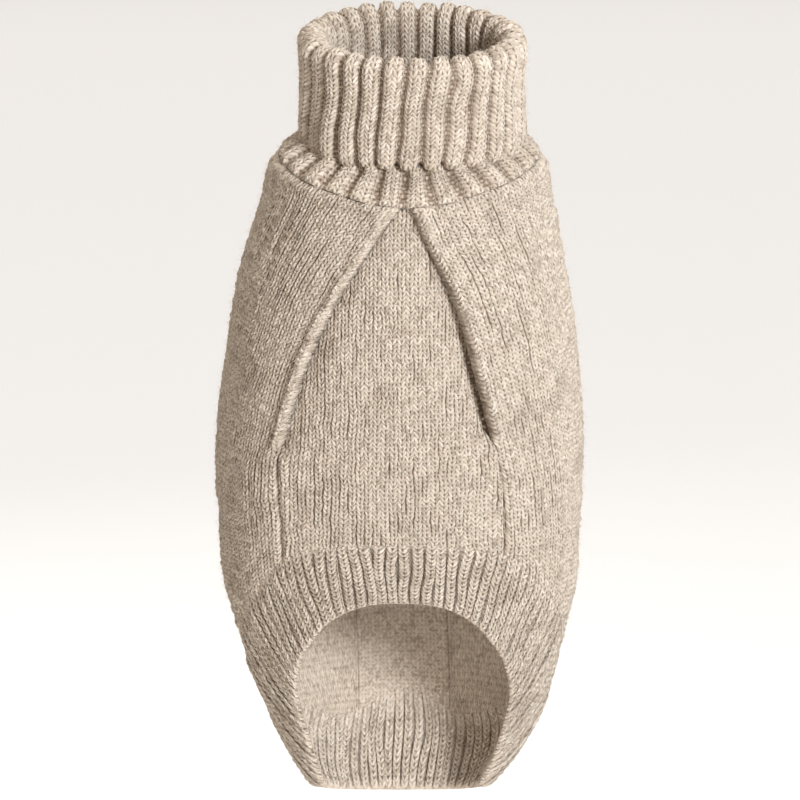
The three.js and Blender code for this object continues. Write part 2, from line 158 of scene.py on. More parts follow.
# Soft troughs (negative) and ridges in the body: two ends as angle and level, half width and height.
CREASES = [
    (-50, -6, -60, -52, 2.2, -1.0),
    (-44, -8, -52, -62, 1.8, -0.6),
    (-57, -4, -70, -44, 2.6, -0.9),
    (-46, -116, -46.5, -158, 2.2, 0.9),
    (-51, -112, -51, -160, 2.0, 0.7),
    (-56, -116, -57, -160, 2.4, 0.5),
    (43, -120, 45, -150, 3.0, -0.5),
    (40, -6, 55, -40, 4.0, -0.5),
    (24.5, -110, 33.5, -121, 2.8, 2.7),
    (18, -96, 25, -108, 3.6, 0.5),
    (-33, -112, -38, -118, 2.4, 0.8),
    (70, -150, 96, -186, 6.0, -0.8),
    (-72, -140, -100, -178, 7.0, -0.8),
    (150, -20, 128, -70, 5.0, -0.8),
    (-148, -24, -130, -80, 5.5, -0.7),
    (160, -150, 120, -190, 7.0, -0.7),
    (-165, -160, -125, -205, 6.0, -0.8),
]

# Where the gaps between wales stand open: angle, level, reach round and up, and how much.
OPEN_GAPS = [
    (-48, -28, 16, 24, 1.3),
    (-66, -60, 14, 26, 0.4),
    (-51, -138, 8, 24, 0.9),
    (-62, -110, 10, 30, 0.3),
    (-24, -140, 14, 18, 0.4),
    (4, -150, 16, 10, 0.3),
    (52, -125, 12, 30, 0.4),
    (60, -60, 12, 24, 0.25),
    (-140, -60, 20, 30, 0.5),
    (150, -120, 18, 30, 0.5),
]

# Millimetres to one degree round the body, as the creases and the open gaps are placed.
CREASE_MM_PER_DEGREE = 1.05
GAP_MM_PER_DEGREE = 1.25

# The height of a plain stitch, to which all settle at seams and edges.
PLAIN_HEIGHT = 0.45

# The inner faces' share of purl and of gaps.
INNER_PURL = 0.5
INNER_GAP = 0.3

NOISE_CELLS = 64


def soft_noise(seed, u, v):
    """Smooth noise from 0 to 1 over two coordinates, one hill to a unit."""
    grid = np.random.default_rng(seed).random((NOISE_CELLS, NOISE_CELLS))
    low_u, low_v = np.floor(u).astype(int), np.floor(v).astype(int)
    part_u, part_v = u - low_u, v - low_v
    part_u, part_v = part_u**2 * (3 - 2 * part_u), part_v**2 * (3 - 2 * part_v)

    def at(step_u, step_v):
        return grid[(low_u + step_u) % NOISE_CELLS, (low_v + step_v) % NOISE_CELLS]

    near = at(0, 0) + (at(1, 0) - at(0, 0)) * part_u
    far = at(0, 1) + (at(1, 1) - at(0, 1)) * part_u
    return near + (far - near) * part_v


def open_gaps(angle, z, seed, across, course):
    """How far the gap between wales stands open, from 0 to 1, uneven along every wale."""
    angle = wrapped(angle)
    open_share = 0.28 + 1.4 * (soft_noise(seed, across / 0.9, course / 4.0) - 0.5)
    for place, level, reach_round, reach_up, amount in OPEN_GAPS:
        off_round = wrapped(angle - place) * GAP_MM_PER_DEGREE / reach_round
        off_up = (z - level) / reach_up
        open_share = open_share + amount * np.exp(-(off_round**2) - off_up**2)
    return np.clip(open_share, 0, 1)


def hump(distance, reach):
    """A soft hump: 1 at no distance, fallen to a third at the reach."""
    return np.exp(-((distance / reach) ** 2))


def walked(points):
    """Length walked along a line of points, from the first to each."""
    return np.concatenate([[0], np.cumsum(np.linalg.norm(np.diff(points, axis=0), axis=1))])


def hermite(t, start, start_slope, end, end_slope):
    """A smooth way from a start to an end that has a given slope at each."""
    t2, t3 = t * t, t * t * t
    return (
        (2 * t3 - 3 * t2 + 1) * start
        + (t3 - 2 * t2 + t) * start_slope
        + (3 * t2 - 2 * t3) * end
        + (t3 - t2) * end_slope
    )


def smooth(table, column, value):
    """Reads one column of a table smoothly at values of its first column."""
    xs, ys = table[:, 0], table[:, column]
    slopes = np.empty(len(xs))
    slopes[1:-1] = (ys[2:] - ys[:-2]) / (xs[2:] - xs[:-2])
    slopes[0] = (ys[1] - ys[0]) / (xs[1] - xs[0])
    slopes[-1] = (ys[-1] - ys[-2]) / (xs[-1] - xs[-2])
    at = np.clip(value, xs[0], xs[-1])
    low = np.clip(np.searchsorted(xs, at, side="right") - 1, 0, len(xs) - 2)
    step = xs[low + 1] - xs[low]
    return hermite((at - xs[low]) / step, ys[low], step * slopes[low], ys[low + 1], step * slopes[low + 1])


def body_point(angle, z):
    """Points on the outside of the filled body, in millimetres."""
    turn = np.radians(angle)
    cosine = np.cos(turn)
    depth = np.where(cosine > 0, smooth(BODY, 4, z), smooth(BODY, 5, z))
    x = smooth(BODY, 1, z) + smooth(BODY, 2, z) * np.sin(turn)
    y = smooth(BODY, 3, z) - depth * cosine
    return np.stack([x, y, z + 0.0 * x], axis=-1)


def body_directions(angle, z):
    """The body's change for one degree round and one millimetre up, and its outward normal."""
    around = body_point(angle + 0.5, z) - body_point(angle - 0.5, z)
    up = body_point(angle, z + 0.5) - body_point(angle, z - 0.5)
    outward = np.cross(around, up)
    outward /= np.linalg.norm(outward, axis=-1, keepdims=True)
    return around, up, outward


def neck_level(angle):
    return smooth(NECKLINE, 1, np.abs(angle))


def hem_level(angle):
    return smooth(HEM_TOP, 1, np.abs(angle))


def row_level(angle, share, gap):
    """Level of a row of a body panel, from the neckline at 0 to the hem rib at 1."""
    top = neck_level(angle) - gap
    return top + (hem_level(angle) + gap - top) * share


def wrapped(angle):
    return (np.asarray(angle) + 180.0) % 360.0 - 180.0


def creases(angle, z):
    """Height of the soft folds at points of the body."""
    angle = wrapped(angle)
    height = np.zeros(np.broadcast(angle, z).shape)
    for angle_a, z_a, angle_b, z_b, width, depth in CREASES:
        off_round = wrapped(angle - (angle_a + angle_b) / 2) * CREASE_MM_PER_DEGREE
        off_up = z - (z_a + z_b) / 2
        run_round = wrapped(angle_b - angle_a) * CREASE_MM_PER_DEGREE
        run_up = z_b - z_a
        length = math.hypot(run_round, run_up)
        along = (off_round * run_round + off_up * run_up) / length
        across = (off_round * run_up - off_up * run_round) / length
        taper = np.clip(1 - (2 * along / length) ** 2, 0, 1) ** 0.5
        bend = across + 0.12 * length * (along / length) ** 2
        height += depth * taper * hump(bend, width)
    return height


def back_seam(share):
    """Angle of the spine panel's seam, a set distance from the spine."""
    half = BACK_HALF_TOP + (BACK_HALF_HEM - BACK_HALF_TOP) * share
    angle = np.full(np.shape(share), 155.0)
    for _ in range(4):
        width = smooth(BODY, 2, row_level(angle, share, 0.0))
        angle = 180 - np.degrees(np.arcsin(half / width))
    return angle


# Where one stitch's columns lie across it, how much of the chevron each has, and how high it stands.
STITCH_ACROSS = np.array([0.0, 0.25, 0.5, 0.75])
STITCH_CHEVRON = np.abs(2 * STITCH_ACROSS - 1)
STITCH_HEIGHT = np.array([0.0, 1.0, 0.3, 1.0])
ROWS_PER_STITCH = 3
ROW_HEIGHT = np.array([0.0, 1.0, 0.7])


def stitch_relief(height, row, factor, gap):
    """Height of each point of the knit: legs that swell and sink along the wale, gaps more or less open."""
    legs = height * (0.72 + 0.28 * row) * factor
    return np.where(height > 0, legs, 0.25 * (1 - gap))


class Knit:
    """Vertices, faces and stitch attributes of one piece while it is put together."""

    def __init__(self):
        self.points = []
        self.outward = []
        self.relief = []
        self.stitch = []
        self.kind = []
        self.count = 0
        self.faces = []
        self.rim = set()

    def add(self, points, outward, relief, stitch, purl, gap, plain):
        """Adds points with outward direction, relief, stitch place, purl and gap shares and plainness."""
        start, shape = self.count, points.shape[:-1]

        def spread(values):
            return np.stack([np.broadcast_to(value, shape).ravel() for value in values], axis=-1)

        self.points.append(points.reshape(-1, 3))
        self.outward.append(outward.reshape(-1, 3))
        self.relief.append(np.broadcast_to(relief, shape).ravel())
        self.stitch.append(spread(stitch))
        self.kind.append(spread((purl, gap, plain)))
        self.count += math.prod(shape)
        return np.arange(start, self.count).reshape(shape)

    def lattice(self, index):
        """Faces of a grid of vertex numbers, where equal neighbours have been merged."""
        a, b, c, d = index[:-1, :-1], index[:-1, 1:], index[1:, 1:], index[1:, :-1]
        corners = np.stack([a, b, c, d], axis=-1).reshape(-1, 4)
        plain = (
            (corners[:, 0] != corners[:, 1])
            & (corners[:, 1] != corners[:, 2])
            & (corners[:, 2] != corners[:, 3])
            & (corners[:, 3] != corners[:, 0])
        )
        self.faces.extend(corners[plain].tolist())
        for face in corners[~plain].tolist():
            kept = [v for i, v in enumerate(face) if v != face[i - 1]]
            if len(kept) == 3 and len(set(kept)) == 3:
                self.faces.append(kept)

    def zipper(self, line_a, at_a, line_b, at_b, rim=True):
        """Triangles between two lines of vertices that run the same way, as a rim or a rounded edge."""
        i = j = 0
        start = len(self.faces)
        while i < len(line_a) - 1 or j < len(line_b) - 1:
            if j == len(line_b) - 1 or (i < len(line_a) - 1 and at_a[i + 1] <= at_b[j + 1]):
                face = [line_a[i], line_a[i + 1], line_b[j]]
                i += 1
            else:
                face = [line_a[i], line_b[j + 1], line_b[j]]
                j += 1
            if len(set(face)) == 3:
                self.faces.append(face)
        if rim:
            self.rim.update(range(start, len(self.faces)))

    def mesh(self, name):
        """The plain mesh, closed and facing out, with its stitch map and attributes."""
        points = np.concatenate(self.points) * MM
        used = np.unique(np.concatenate([np.array(f) for f in self.faces]))
        number = np.full(self.count, -1)
        number[used] = np.arange(len(used))
        faces = [[int(number[v]) for v in face] for face in self.faces]
        mesh = bpy.data.meshes.new(name)
        mesh.from_pydata(points[used].tolist(), [], faces)
        shell = bmesh.new()
        shell.from_mesh(mesh)
        bmesh.ops.recalc_face_normals(shell, faces=shell.faces)
        for edge in shell.edges:
            edge.smooth = len({face.index in self.rim for face in edge.link_faces}) == 1
        shell.to_mesh(mesh)
        shell.free()
        for label, values in (("outward", self.outward), ("kind", self.kind)):
            attribute = mesh.attributes.new(label, "FLOAT_VECTOR", "POINT")
            attribute.data.foreach_set("vector", np.concatenate(values)[used].astype(np.float32).ravel())
        relief = mesh.attributes.new("relief", "FLOAT", "POINT")
        relief.data.foreach_set("value", np.concatenate(self.relief)[used].astype(np.float32))
        layer = mesh.uv_layers.new(name="Stitches")
        loops = np.empty(len(mesh.loops), dtype=np.int32)
        mesh.loops.foreach_get("vertex_index", loops)
        layer.data.foreach_set("uv", np.concatenate(self.stitch)[used][loops].astype(np.float32).ravel())
        mesh.polygons.foreach_set("use_smooth", np.ones(len(mesh.polygons), dtype=bool))
        mesh.update()
        return mesh


def seam_edge(distance, free, sewn_share, course):
    """Height of the cloth beside an edge: a rolled free edge with slanting stitches, or a sewn seam."""
    roll_in = np.sqrt(np.clip(1 - ((ROLL_WIDTH - distance) / ROLL_WIDTH) ** 2, 0, 1))
    beyond = (ROLL_LIP + ROLL_HEIGHT) * hump(distance - ROLL_WIDTH, 2.0)
    rolled = np.where(distance < ROLL_WIDTH, ROLL_LIP + ROLL_HEIGHT * roll_in, beyond)
    stitches = 0.6 * np.sin(2 * math.pi * (course - distance / 4.5)) * hump(distance - 2.2, 2.1)
    sewn = -1.5 * hump(distance, 1.5) + 0.6 * hump(distance - 3.2, 1.7)
    return free * (rolled + stitches) + sewn_share * sewn


def neck_seam(from_top):
    """The body's top edge rolls over and dips into the neckline seam."""
    return 0.7 * hump(from_top - 2.8, 2.0) - 0.25 * hump(from_top, 1.3)


def stitch_sway(seed, whole, course):
    """How far each stitch wanders sideways."""
    broad = soft_noise(seed, whole / 2.2, course / 3.2) - 0.5
    narrow = soft_noise(seed + 1, whole, course) - 0.5
    return 0.12 * broad + 0.08 * narrow


def settle(relief, share):
    """Stitch heights, brought to the plain one where the share falls to 0."""
    return PLAIN_HEIGHT + (relief - PLAIN_HEIGHT) * share


def snapped(share, reach):
    """Shares down a piece, set to 0 or 1 where they come within reach of it."""
    share = np.where(np.abs(share) < reach, 0, share)
    return np.where(np.abs(share - 1) < reach, 1, share)


def clamp_merge(share, index):
    """Merges each column's vertices above share 0 and below share 1, and gives each column's two ends."""
    first = np.empty(len(index), dtype=int)
    last = np.empty(len(index), dtype=int)
    for column in range(len(index)):
        first[column] = np.nonzero(share[column] <= 0)[0][-1]
        last[column] = np.nonzero(share[column] >= 1)[0][0]
        index[column, : first[column]] = index[column, first[column]]
        index[column, last[column] :] = index[column, last[column]]
    return first, last


def stitch_columns(wales):
    """Across, chevron and height of every fine column of a stockinette panel."""
    across = (np.arange(wales)[:, None] + STITCH_ACROSS[None, :]).ravel()
    across = np.append(across, wales)
    chevron = np.append(np.tile(STITCH_CHEVRON, wales), STITCH_CHEVRON[0])
    height = np.append(np.tile(STITCH_HEIGHT, wales), STITCH_HEIGHT[0])
    return across, chevron, height


def uneven_stitches(seed, wales, courses, amount):
    """A factor for each stitch's height, so that no two are quite alike."""
    rng = np.random.default_rng(seed)
    by_wale = rng.normal(1.0, amount * 0.6, (wales, 1))
    return np.clip(by_wale * rng.normal(1.0, amount, (wales, courses)), 0.5, 1.5)


def stockinette_relief(seed, wales, columns, rows, courses_above, gaps, uneven):
    """Stitch heights over a stockinette piece, given its fine columns and rows and the gaps between wales."""
    across, height = columns
    factor = uneven_stitches(seed, wales + 1, len(rows) // ROWS_PER_STITCH + 4, uneven)
    wale_number = np.minimum(across.astype(int), wales)[:, None]
    course_number = np.clip(rows // ROWS_PER_STITCH + courses_above, 0, factor.shape[1] - 1)[None, :]
    row = ROW_HEIGHT[rows % ROWS_PER_STITCH][None, :]
    return stitch_relief(height[:, None], row, factor[wale_number, course_number], gaps)


def side_place(sign, edge_table, gap):
    """Where a side panel's point lies, from 0 at its front edge to 1 at the spine panel's seam."""

    def place(across, share):
        inside = np.clip(share, 0, 1)
        front_0 = edge_table[0, 1]
        seam_0 = sign * back_seam(np.zeros(1))[0]
        front = smooth(edge_table, 1, inside)
        seam = sign * back_seam(inside)
        sweep = 1 - across**1.4
        angle = front_0 + (seam_0 - front_0) * across
        angle = angle + (front - front_0) * sweep + (seam - seam_0) * (1 - sweep)
        per_mm = sign / np.linalg.norm(body_directions(angle, row_level(angle, inside, gap))[0], axis=-1)
        angle = angle + per_mm * gap * (1 - 2 * across)
        return angle, row_level(angle, share, gap)

    return place


def back_place(gap):
    """Where the spine panel's point lies, from 0 on the right to 1 on the left."""

    def place(across, share):
        seam = back_seam(np.clip(share, 0, 1))
        angle = seam + (360 - 2 * seam) * across
        per_mm = 1 / np.linalg.norm(body_directions(angle, row_level(wrapped(angle), share, gap))[0], axis=-1)
        angle = wrapped(angle + per_mm * gap * (1 - 2 * across))
        return angle, row_level(angle, share, gap)

    return place


def course_shares(place, across, step, courses_above, courses_below):
    """Share down the panel of every course at every fine column, each course square to the wales."""
    shares = np.linspace(0, 1, 201)
    length = walked(body_point(*place(np.zeros(len(shares)), shares)))
    courses = np.arange(-courses_above, courses_below + 1, 0.5)
    along = courses * step
    share = np.interp(along, length, shares)
    share = np.where(along < 0, along / length[-1], share)
    share = np.where(along > length[-1], 1 + (along - length[-1]) / length[-1], share)
    columns = [share]
    for left, right in zip(across[:-1], across[1:]):
        now = columns[-1]
        at = np.clip(now, 0, 1)
        here = np.full(at.shape, (left + right) / 2)
        point = body_point(*place(here, at))
        side = body_point(*place(here + 0.002, at)) - point
        down = body_point(*place(here, at + 0.002)) - point
        turn = (side * down).sum(-1) / (down * down).sum(-1)
        columns.append(now - 0.85 * turn * (right - left))
    return courses, np.array(columns)


def knit_panel(name, place, wales, seed, sizes, gap, slit, courses_above, courses_below, steps):
    """A closed panel of stockinette whose wales run between two long edges, the front one slit or sewn."""
    knit = Knit()
    across, chevron, height = stitch_columns(wales)
    step = sizes.course / MM
    courses, shares = course_shares(place, across / wales, step, courses_above, courses_below)
    rows = np.arange(-courses_above * ROWS_PER_STITCH + 3, courses_below * ROWS_PER_STITCH - 3)
    course = rows[None, :] / ROWS_PER_STITCH - sizes.chevron * chevron[:, None]
    share = np.array([np.interp(course[i], courses, shares[i]) for i in range(len(across))])
    share = snapped(share, 0.0025)
    ends = np.array([(np.interp(0, s, courses), np.interp(1, s, courses)) for s in shares])
    shown = np.clip(share, 0, 1)
    slit_share = shown / SLIT_END
    shown_course = np.clip(course, ends[:, :1], ends[:, 1:])
    whole = np.broadcast_to(across[:, None], share.shape)
    edge_sway = 0.7 if slit else 0.0
    inside = np.clip(np.minimum(whole + edge_sway, wales - whole), 0, 1)
    from_edge = np.clip((whole + 2.0 * stitch_sway(seed, whole, shown_course) * inside) / wales, 0, 1)
    free = np.clip((1.0 - slit_share) / SEWN_OVER, 0, 1) if slit else 0.0
    scallop = 0.2 * free * (1 + np.sin(2 * math.pi * shown_course)) * hump(whole, 1.2)
    columns = from_edge + scallop / wales
    angle, z = place(columns, shown)
    points = body_point(angle, z)
    _, _, outward = body_directions(angle, z)
    middle = points.shape[1] // 2
    width = np.linalg.norm(np.diff(points[:, middle], axis=0), axis=1).sum()
    from_top = neck_level(wrapped(angle)) - gap - z
    from_hem = z - hem_level(wrapped(angle)) - gap
    gaps = open_gaps(angle, z, seed + 2, whole, shown_course)
    relief = stockinette_relief(seed, wales, (across, height), rows, courses_above, gaps, sizes.uneven)
    relief = settle(relief, np.clip(np.minimum(from_hem, from_top) / 1.6, 0, 1))
    sewn = np.clip((slit_share - SEWN_FROM) / SEWN_OVER, 0, 1) if slit else 1.0
    breadth = 1.0 + 0.3 * free * (1 - slit_share) + 0.6 * free * hump(slit_share, 0.16)
    breadth = breadth * (1 + 0.4 * free * (soft_noise(seed + 4, 0 * shown, shown_course / 1.6) - 0.5))
    in_roll = from_edge * width / breadth
    shape = seam_edge(in_roll, free, sewn, shown_course) + seam_edge((1 - columns) * width, 0.0, 1.0, 0.0)
    shape = shape * np.clip(from_top / 3.0, 0, 1) * np.clip(0.25 + from_hem / 4.0, 0, 1)
    if slit:
        shape = shape - 1.4 * hump(columns * width, 4.0) * hump(slit_share - 1.01, 0.03)
    shape = shape + neck_seam(from_top) + creases(angle, z) - 0.5
    points = points + outward * shape[..., None]
    covered = 0.7 * free * np.exp(-(((in_roll - 1.6) / 2.4) ** 4))
    index = knit.add(points, outward, relief, (whole, shown_course), 0.0, gaps, covered)
    first, last = clamp_merge(share, index)
    knit.lattice(index)

    beside_seam = np.array([0.6, 1.4, 2.6]) / width
    inner_across = np.concatenate([np.linspace(0, 1, steps[0] + 1), 1 - beside_seam])
    if not slit:
        inner_across = np.append(inner_across, beside_seam)
    inner_across = np.unique(np.round(inner_across, 5))
    inner_share = np.linspace(0, 1, steps[1] + 1)
    grid_a, grid_s = np.meshgrid(inner_across, inner_share, indexing="ij")
    angle, z = place(grid_a, grid_s)
    _, _, outward = body_directions(angle, z)
    to_seam = ((1 - grid_a) if slit else np.minimum(grid_a, 1 - grid_a)) * width
    shape = creases(angle, z) - sizes.wall / MM - 0.7 * hump(to_seam - 1.6, 1.2)
    points = body_point(angle, z) + outward * shape[..., None]
    nearest = np.searchsorted(across / wales, inner_across - 1e-9)
    inner_course = np.array([np.interp(inner_share, shares[k], courses) for k in nearest])
    felted = 0.62 * (1 - 0.15 * hump(to_seam, 0.9))
    stitches = (grid_a * wales, inner_course)
    inner_index = knit.add(points, -outward, PLAIN_HEIGHT, stitches, INNER_PURL, INNER_GAP, felted)
    knit.lattice(inner_index[::-1])
    order = np.arange(len(across))
    knit.zipper(index[order, first], across / wales, inner_index[:, 0], inner_across)
    knit.zipper(index[order, last], across / wales, inner_index[:, -1], inner_across)
    for column in (0, -1):
        line = slice(first[column], last[column] + 1)
        is_rim = column < 0 or not slit
        knit.zipper(index[column, line], shown[column, line], inner_index[column], inner_share, is_rim)
    return knit.mesh(name)


def knit_belly(name, sizes, seed, gap):
    """The belly panel: upright wales, cut slantwise by the leg openings and tucked under the side panels."""
    knit = Knit()
    wale, step = sizes.wale / MM, sizes.course / MM
    wales = int(BELLY_WIDTH / wale)
    across, chevron, height = stitch_columns(wales)
    courses = int((BELLY_TOP - BELLY_BOTTOM) / step)
    rows = np.arange(-ROWS_PER_STITCH * 2, (courses + 3) * ROWS_PER_STITCH)
    course = rows[None, :] / ROWS_PER_STITCH - sizes.chevron * chevron[:, None]
    z = BELLY_TOP - course * step
    whole = np.broadcast_to(across[:, None], z.shape)
    x = (whole + 2.0 * stitch_sway(seed, whole, course) - wales / 2) * wale + BELLY_MIDDLE

    def share_of(angle, z):
        high = neck_level(angle) - gap
        return (high - z) / (high - hem_level(angle) - gap)

    def edge_of(z, sign, table):
        """The side panel's front edge, the belly's cut edge beyond it, and how deep the belly lies there."""
        angle = np.full(z.shape, 20.0 * sign)
        for _ in range(14):
            angle = smooth(table, 1, np.clip(share_of(angle, z), 0, 1))
        slit = np.clip(share_of(angle, z), 0, 1) / SLIT_END
        tuck = TUCK_UNDER * np.clip(smooth(TUCK, 2, slit), 0, 1)
        tuck = np.where(slit > TUCK_ENDS, 0.0, tuck) - gap
        per_mm = 1 / np.linalg.norm(body_directions(angle, z)[0], axis=-1)
        return angle, angle + sign * per_mm * tuck, smooth(TUCK, 1, slit)

    left, left_cut, depth_left = edge_of(z, -1, LEFT_EDGE)
    right, right_cut, depth_right = edge_of(z, 1, RIGHT_EDGE)
    angle = np.degrees(np.arcsin(np.clip((x - smooth(BODY, 1, z)) / smooth(BODY, 2, z), -0.85, 0.85)))
    low = angle <= left_cut
    high = angle >= right_cut
    angle = np.clip(angle, left_cut, right_cut)
    share = snapped(share_of(angle, z), 0.003)
    shown = np.clip(share, 0, 1)
    z = row_level(angle, shown, gap)
    middle = (left + right) / 2
    half = np.maximum((right - left) / 2, 0.5)
    crown = 1 - np.clip(np.abs(angle - middle) / half, 0, 1) ** 3
    openness = np.clip(half * 2 * 1.12 / 40.0, 0, 1)
    depth = np.where(angle < middle, depth_left, depth_right)
    inset = depth * (1 - 0.7 * crown * openness)
    slit_share = shown / SLIT_END
    # Beside the right slit the belly sinks a further 2.6 mm, and the same strip is given purl and open gaps
    # so that the stitch hollows paint a dark shadow under the right panel's edge.
    beside_right = np.clip((right - angle) * 1.35, 0, 12)
    open_with_painted_shade = np.clip((slit_share - 0.25) / 0.5, 0, 1)
    open_with_painted_shade = open_with_painted_shade * np.clip((TUCK_ENDS - slit_share) / SEWN_OVER, 0, 1)
    open_with_painted_shade = open_with_painted_shade * np.exp(-((beside_right / 3.0) ** 4))
    inset = inset + 2.6 * open_with_painted_shade
    points = body_point(angle, z)
    around, _, outward = body_directions(angle, z)
    to_seam = np.minimum(np.abs(angle - left), np.abs(angle - right)) * np.linalg.norm(around, axis=-1)
    from_top = neck_level(angle) - gap - z
    from_hem = z - hem_level(angle) - gap
    sewn = np.clip((slit_share - SEWN_FROM) / SEWN_OVER, 0, 1)
    gaps = np.maximum(open_gaps(angle, z, seed + 2, whole, course), open_with_painted_shade)
    relief = stockinette_relief(seed, wales, (across, height), rows, 3, gaps, sizes.uneven)
    relief = settle(relief, np.clip(np.minimum(from_hem, from_top) / 1.6, 0, 1))
    shape = seam_edge(to_seam, 0.0, sewn, 0.0) * np.clip(0.25 + from_hem / 4.0, 0, 1)
    shape = shape + creases(angle, z) - 0.5 - inset - 0.8 * hump(from_top, 1.2)
    surface = points + outward * shape[..., None]
    # The purl share beside the right slit is painted shadow, not a purl face.
    index = knit.add(surface, outward, relief, (whole, course), 0.9 * open_with_painted_shade, gaps, 0.0)
    for number in range(z.shape[1]):
        inside = np.nonzero(~(low[:, number] | high[:, number]))[0]
        if not len(inside):
            nearest = int(np.argmin(np.abs(x[:, number] - BELLY_MIDDLE)))
            index[:, number] = index[nearest, number]
            continue
        first, last = max(inside[0] - 1, 0), min(inside[-1] + 1, len(x) - 1)
        index[:first, number] = index[first, number]
        index[last + 1 :, number] = index[last, number]
    above, under = share <= 0, share >= 1
    keep = np.ones(z.shape, dtype=bool)
    keep[:, :-1] &= ~(above[:, :-1] & above[:, 1:])
    keep[:, 1:] &= ~(under[:, 1:] & under[:, :-1])
    for column in range(z.shape[0]):
        kept = np.nonzero(keep[column])[0]
        index[column, : kept[0]] = index[column, kept[0]]
        index[column, kept[-1] :] = index[column, kept[-1]]
    knit.lattice(index)
    outer_faces = list(knit.faces)
    inner = surface - outward * (sizes.wall / MM - 0.5)
    size = index.size
    knit.add(inner, -outward, PLAIN_HEIGHT, (whole, course), INNER_PURL, INNER_GAP, 0.65)
    knit.faces.extend([[v + size for v in reversed(face)] for face in outer_faces])
    edges = {(face[i - 1], v) for face in outer_faces for i, v in enumerate(face)}
    start = len(knit.faces)
    knit.faces.extend([b, a, a + size, b + size] for a, b in edges if (b, a) not in edges)
    knit.rim.update(range(start, len(knit.faces)))
    return knit.mesh(name)


def walked_line(table):
    """Angle and level along a line round the body, by share of its length from belly to spine."""
    index = np.column_stack([np.arange(len(table)), table])
    along = np.linspace(0, len(table) - 1, 241)
    angle, z = smooth(index, 1, along), smooth(index, 2, along)
    length = walked(body_point(angle, z))
    return length / length[-1], angle, z


# One rib of the hem across its pitch: place, stitch column, chevron, rib raise, stitch height, purl share.
HEM_RIB = np.array([
    (0.00, 0.00, 1.0, 0.70, 0.8, 0.0),
    (0.21, 0.25, 0.5, 0.98, 1.0, 0.0),
    (0.44, 0.50, 0.0, 1.00, 0.5, 0.0),
    (0.67, 0.75, 0.5, 0.98, 1.0, 0.0),
    (0.88, 1.00, 1.0, 0.70, 0.8, 0.0),
    (0.92, 1.40, 0.6, 0.06, 0.2, 0.5),
    (0.96, 1.70, 0.6, 0.06, 0.2, 0.5),
])

# One rib of the neck in the same columns: two knit wales and a purl trough.
NECK_RIB_WIDTH = 0.78
NECK_RIB = np.array([
    (0.00, 0.00, 1.0, 0.30, 0.3, 0.2),
    (0.09, 0.25, 0.5, 0.80, 1.0, 0.0),
    (0.19, 0.50, 0.0, 0.96, 0.6, 0.0),
    (0.29, 0.75, 0.5, 1.02, 1.0, 0.0),
    (0.39, 1.00, 1.0, 1.04, 0.4, 0.0),
    (0.49, 1.25, 0.5, 1.02, 1.0, 0.0),
    (0.59, 1.50, 0.0, 0.96, 0.6, 0.0),
    (0.69, 1.75, 0.5, 0.80, 1.0, 0.0),
    (0.78, 2.00, 1.0, 0.30, 0.3, 0.2),
    (0.84, 2.35, 0.6, 0.02, 0.6, 0.9),
    (0.89, 2.70, 0.6, 0.00, 0.2, 0.9),
    (0.94, 3.00, 0.6, 0.02, 0.6, 0.9),
])


def even_turn(share, half_x, half_y):
    """Angle, from the belly round to the right, at a share of the way round an ellipse."""
    angle = np.linspace(-180, 180, 1441)
    turn = np.radians(angle)
    length = walked(np.stack([half_x * np.sin(turn), -half_y * np.cos(turn)], axis=-1))
    whole = np.floor(share)
    return np.interp(share - whole, length / length[-1], angle) + 360 * whole


def rib_columns(rib, ribs):
    """Every fine column of a ribbed band, as rows of one rib's table with place and stitch counted on."""
    columns = np.tile(rib, (ribs, 1))
    number = np.repeat(np.arange(ribs), len(rib))
    columns[:, 0] = (columns[:, 0] + number) / ribs
    columns[:, 1] += 4 * number
    return columns


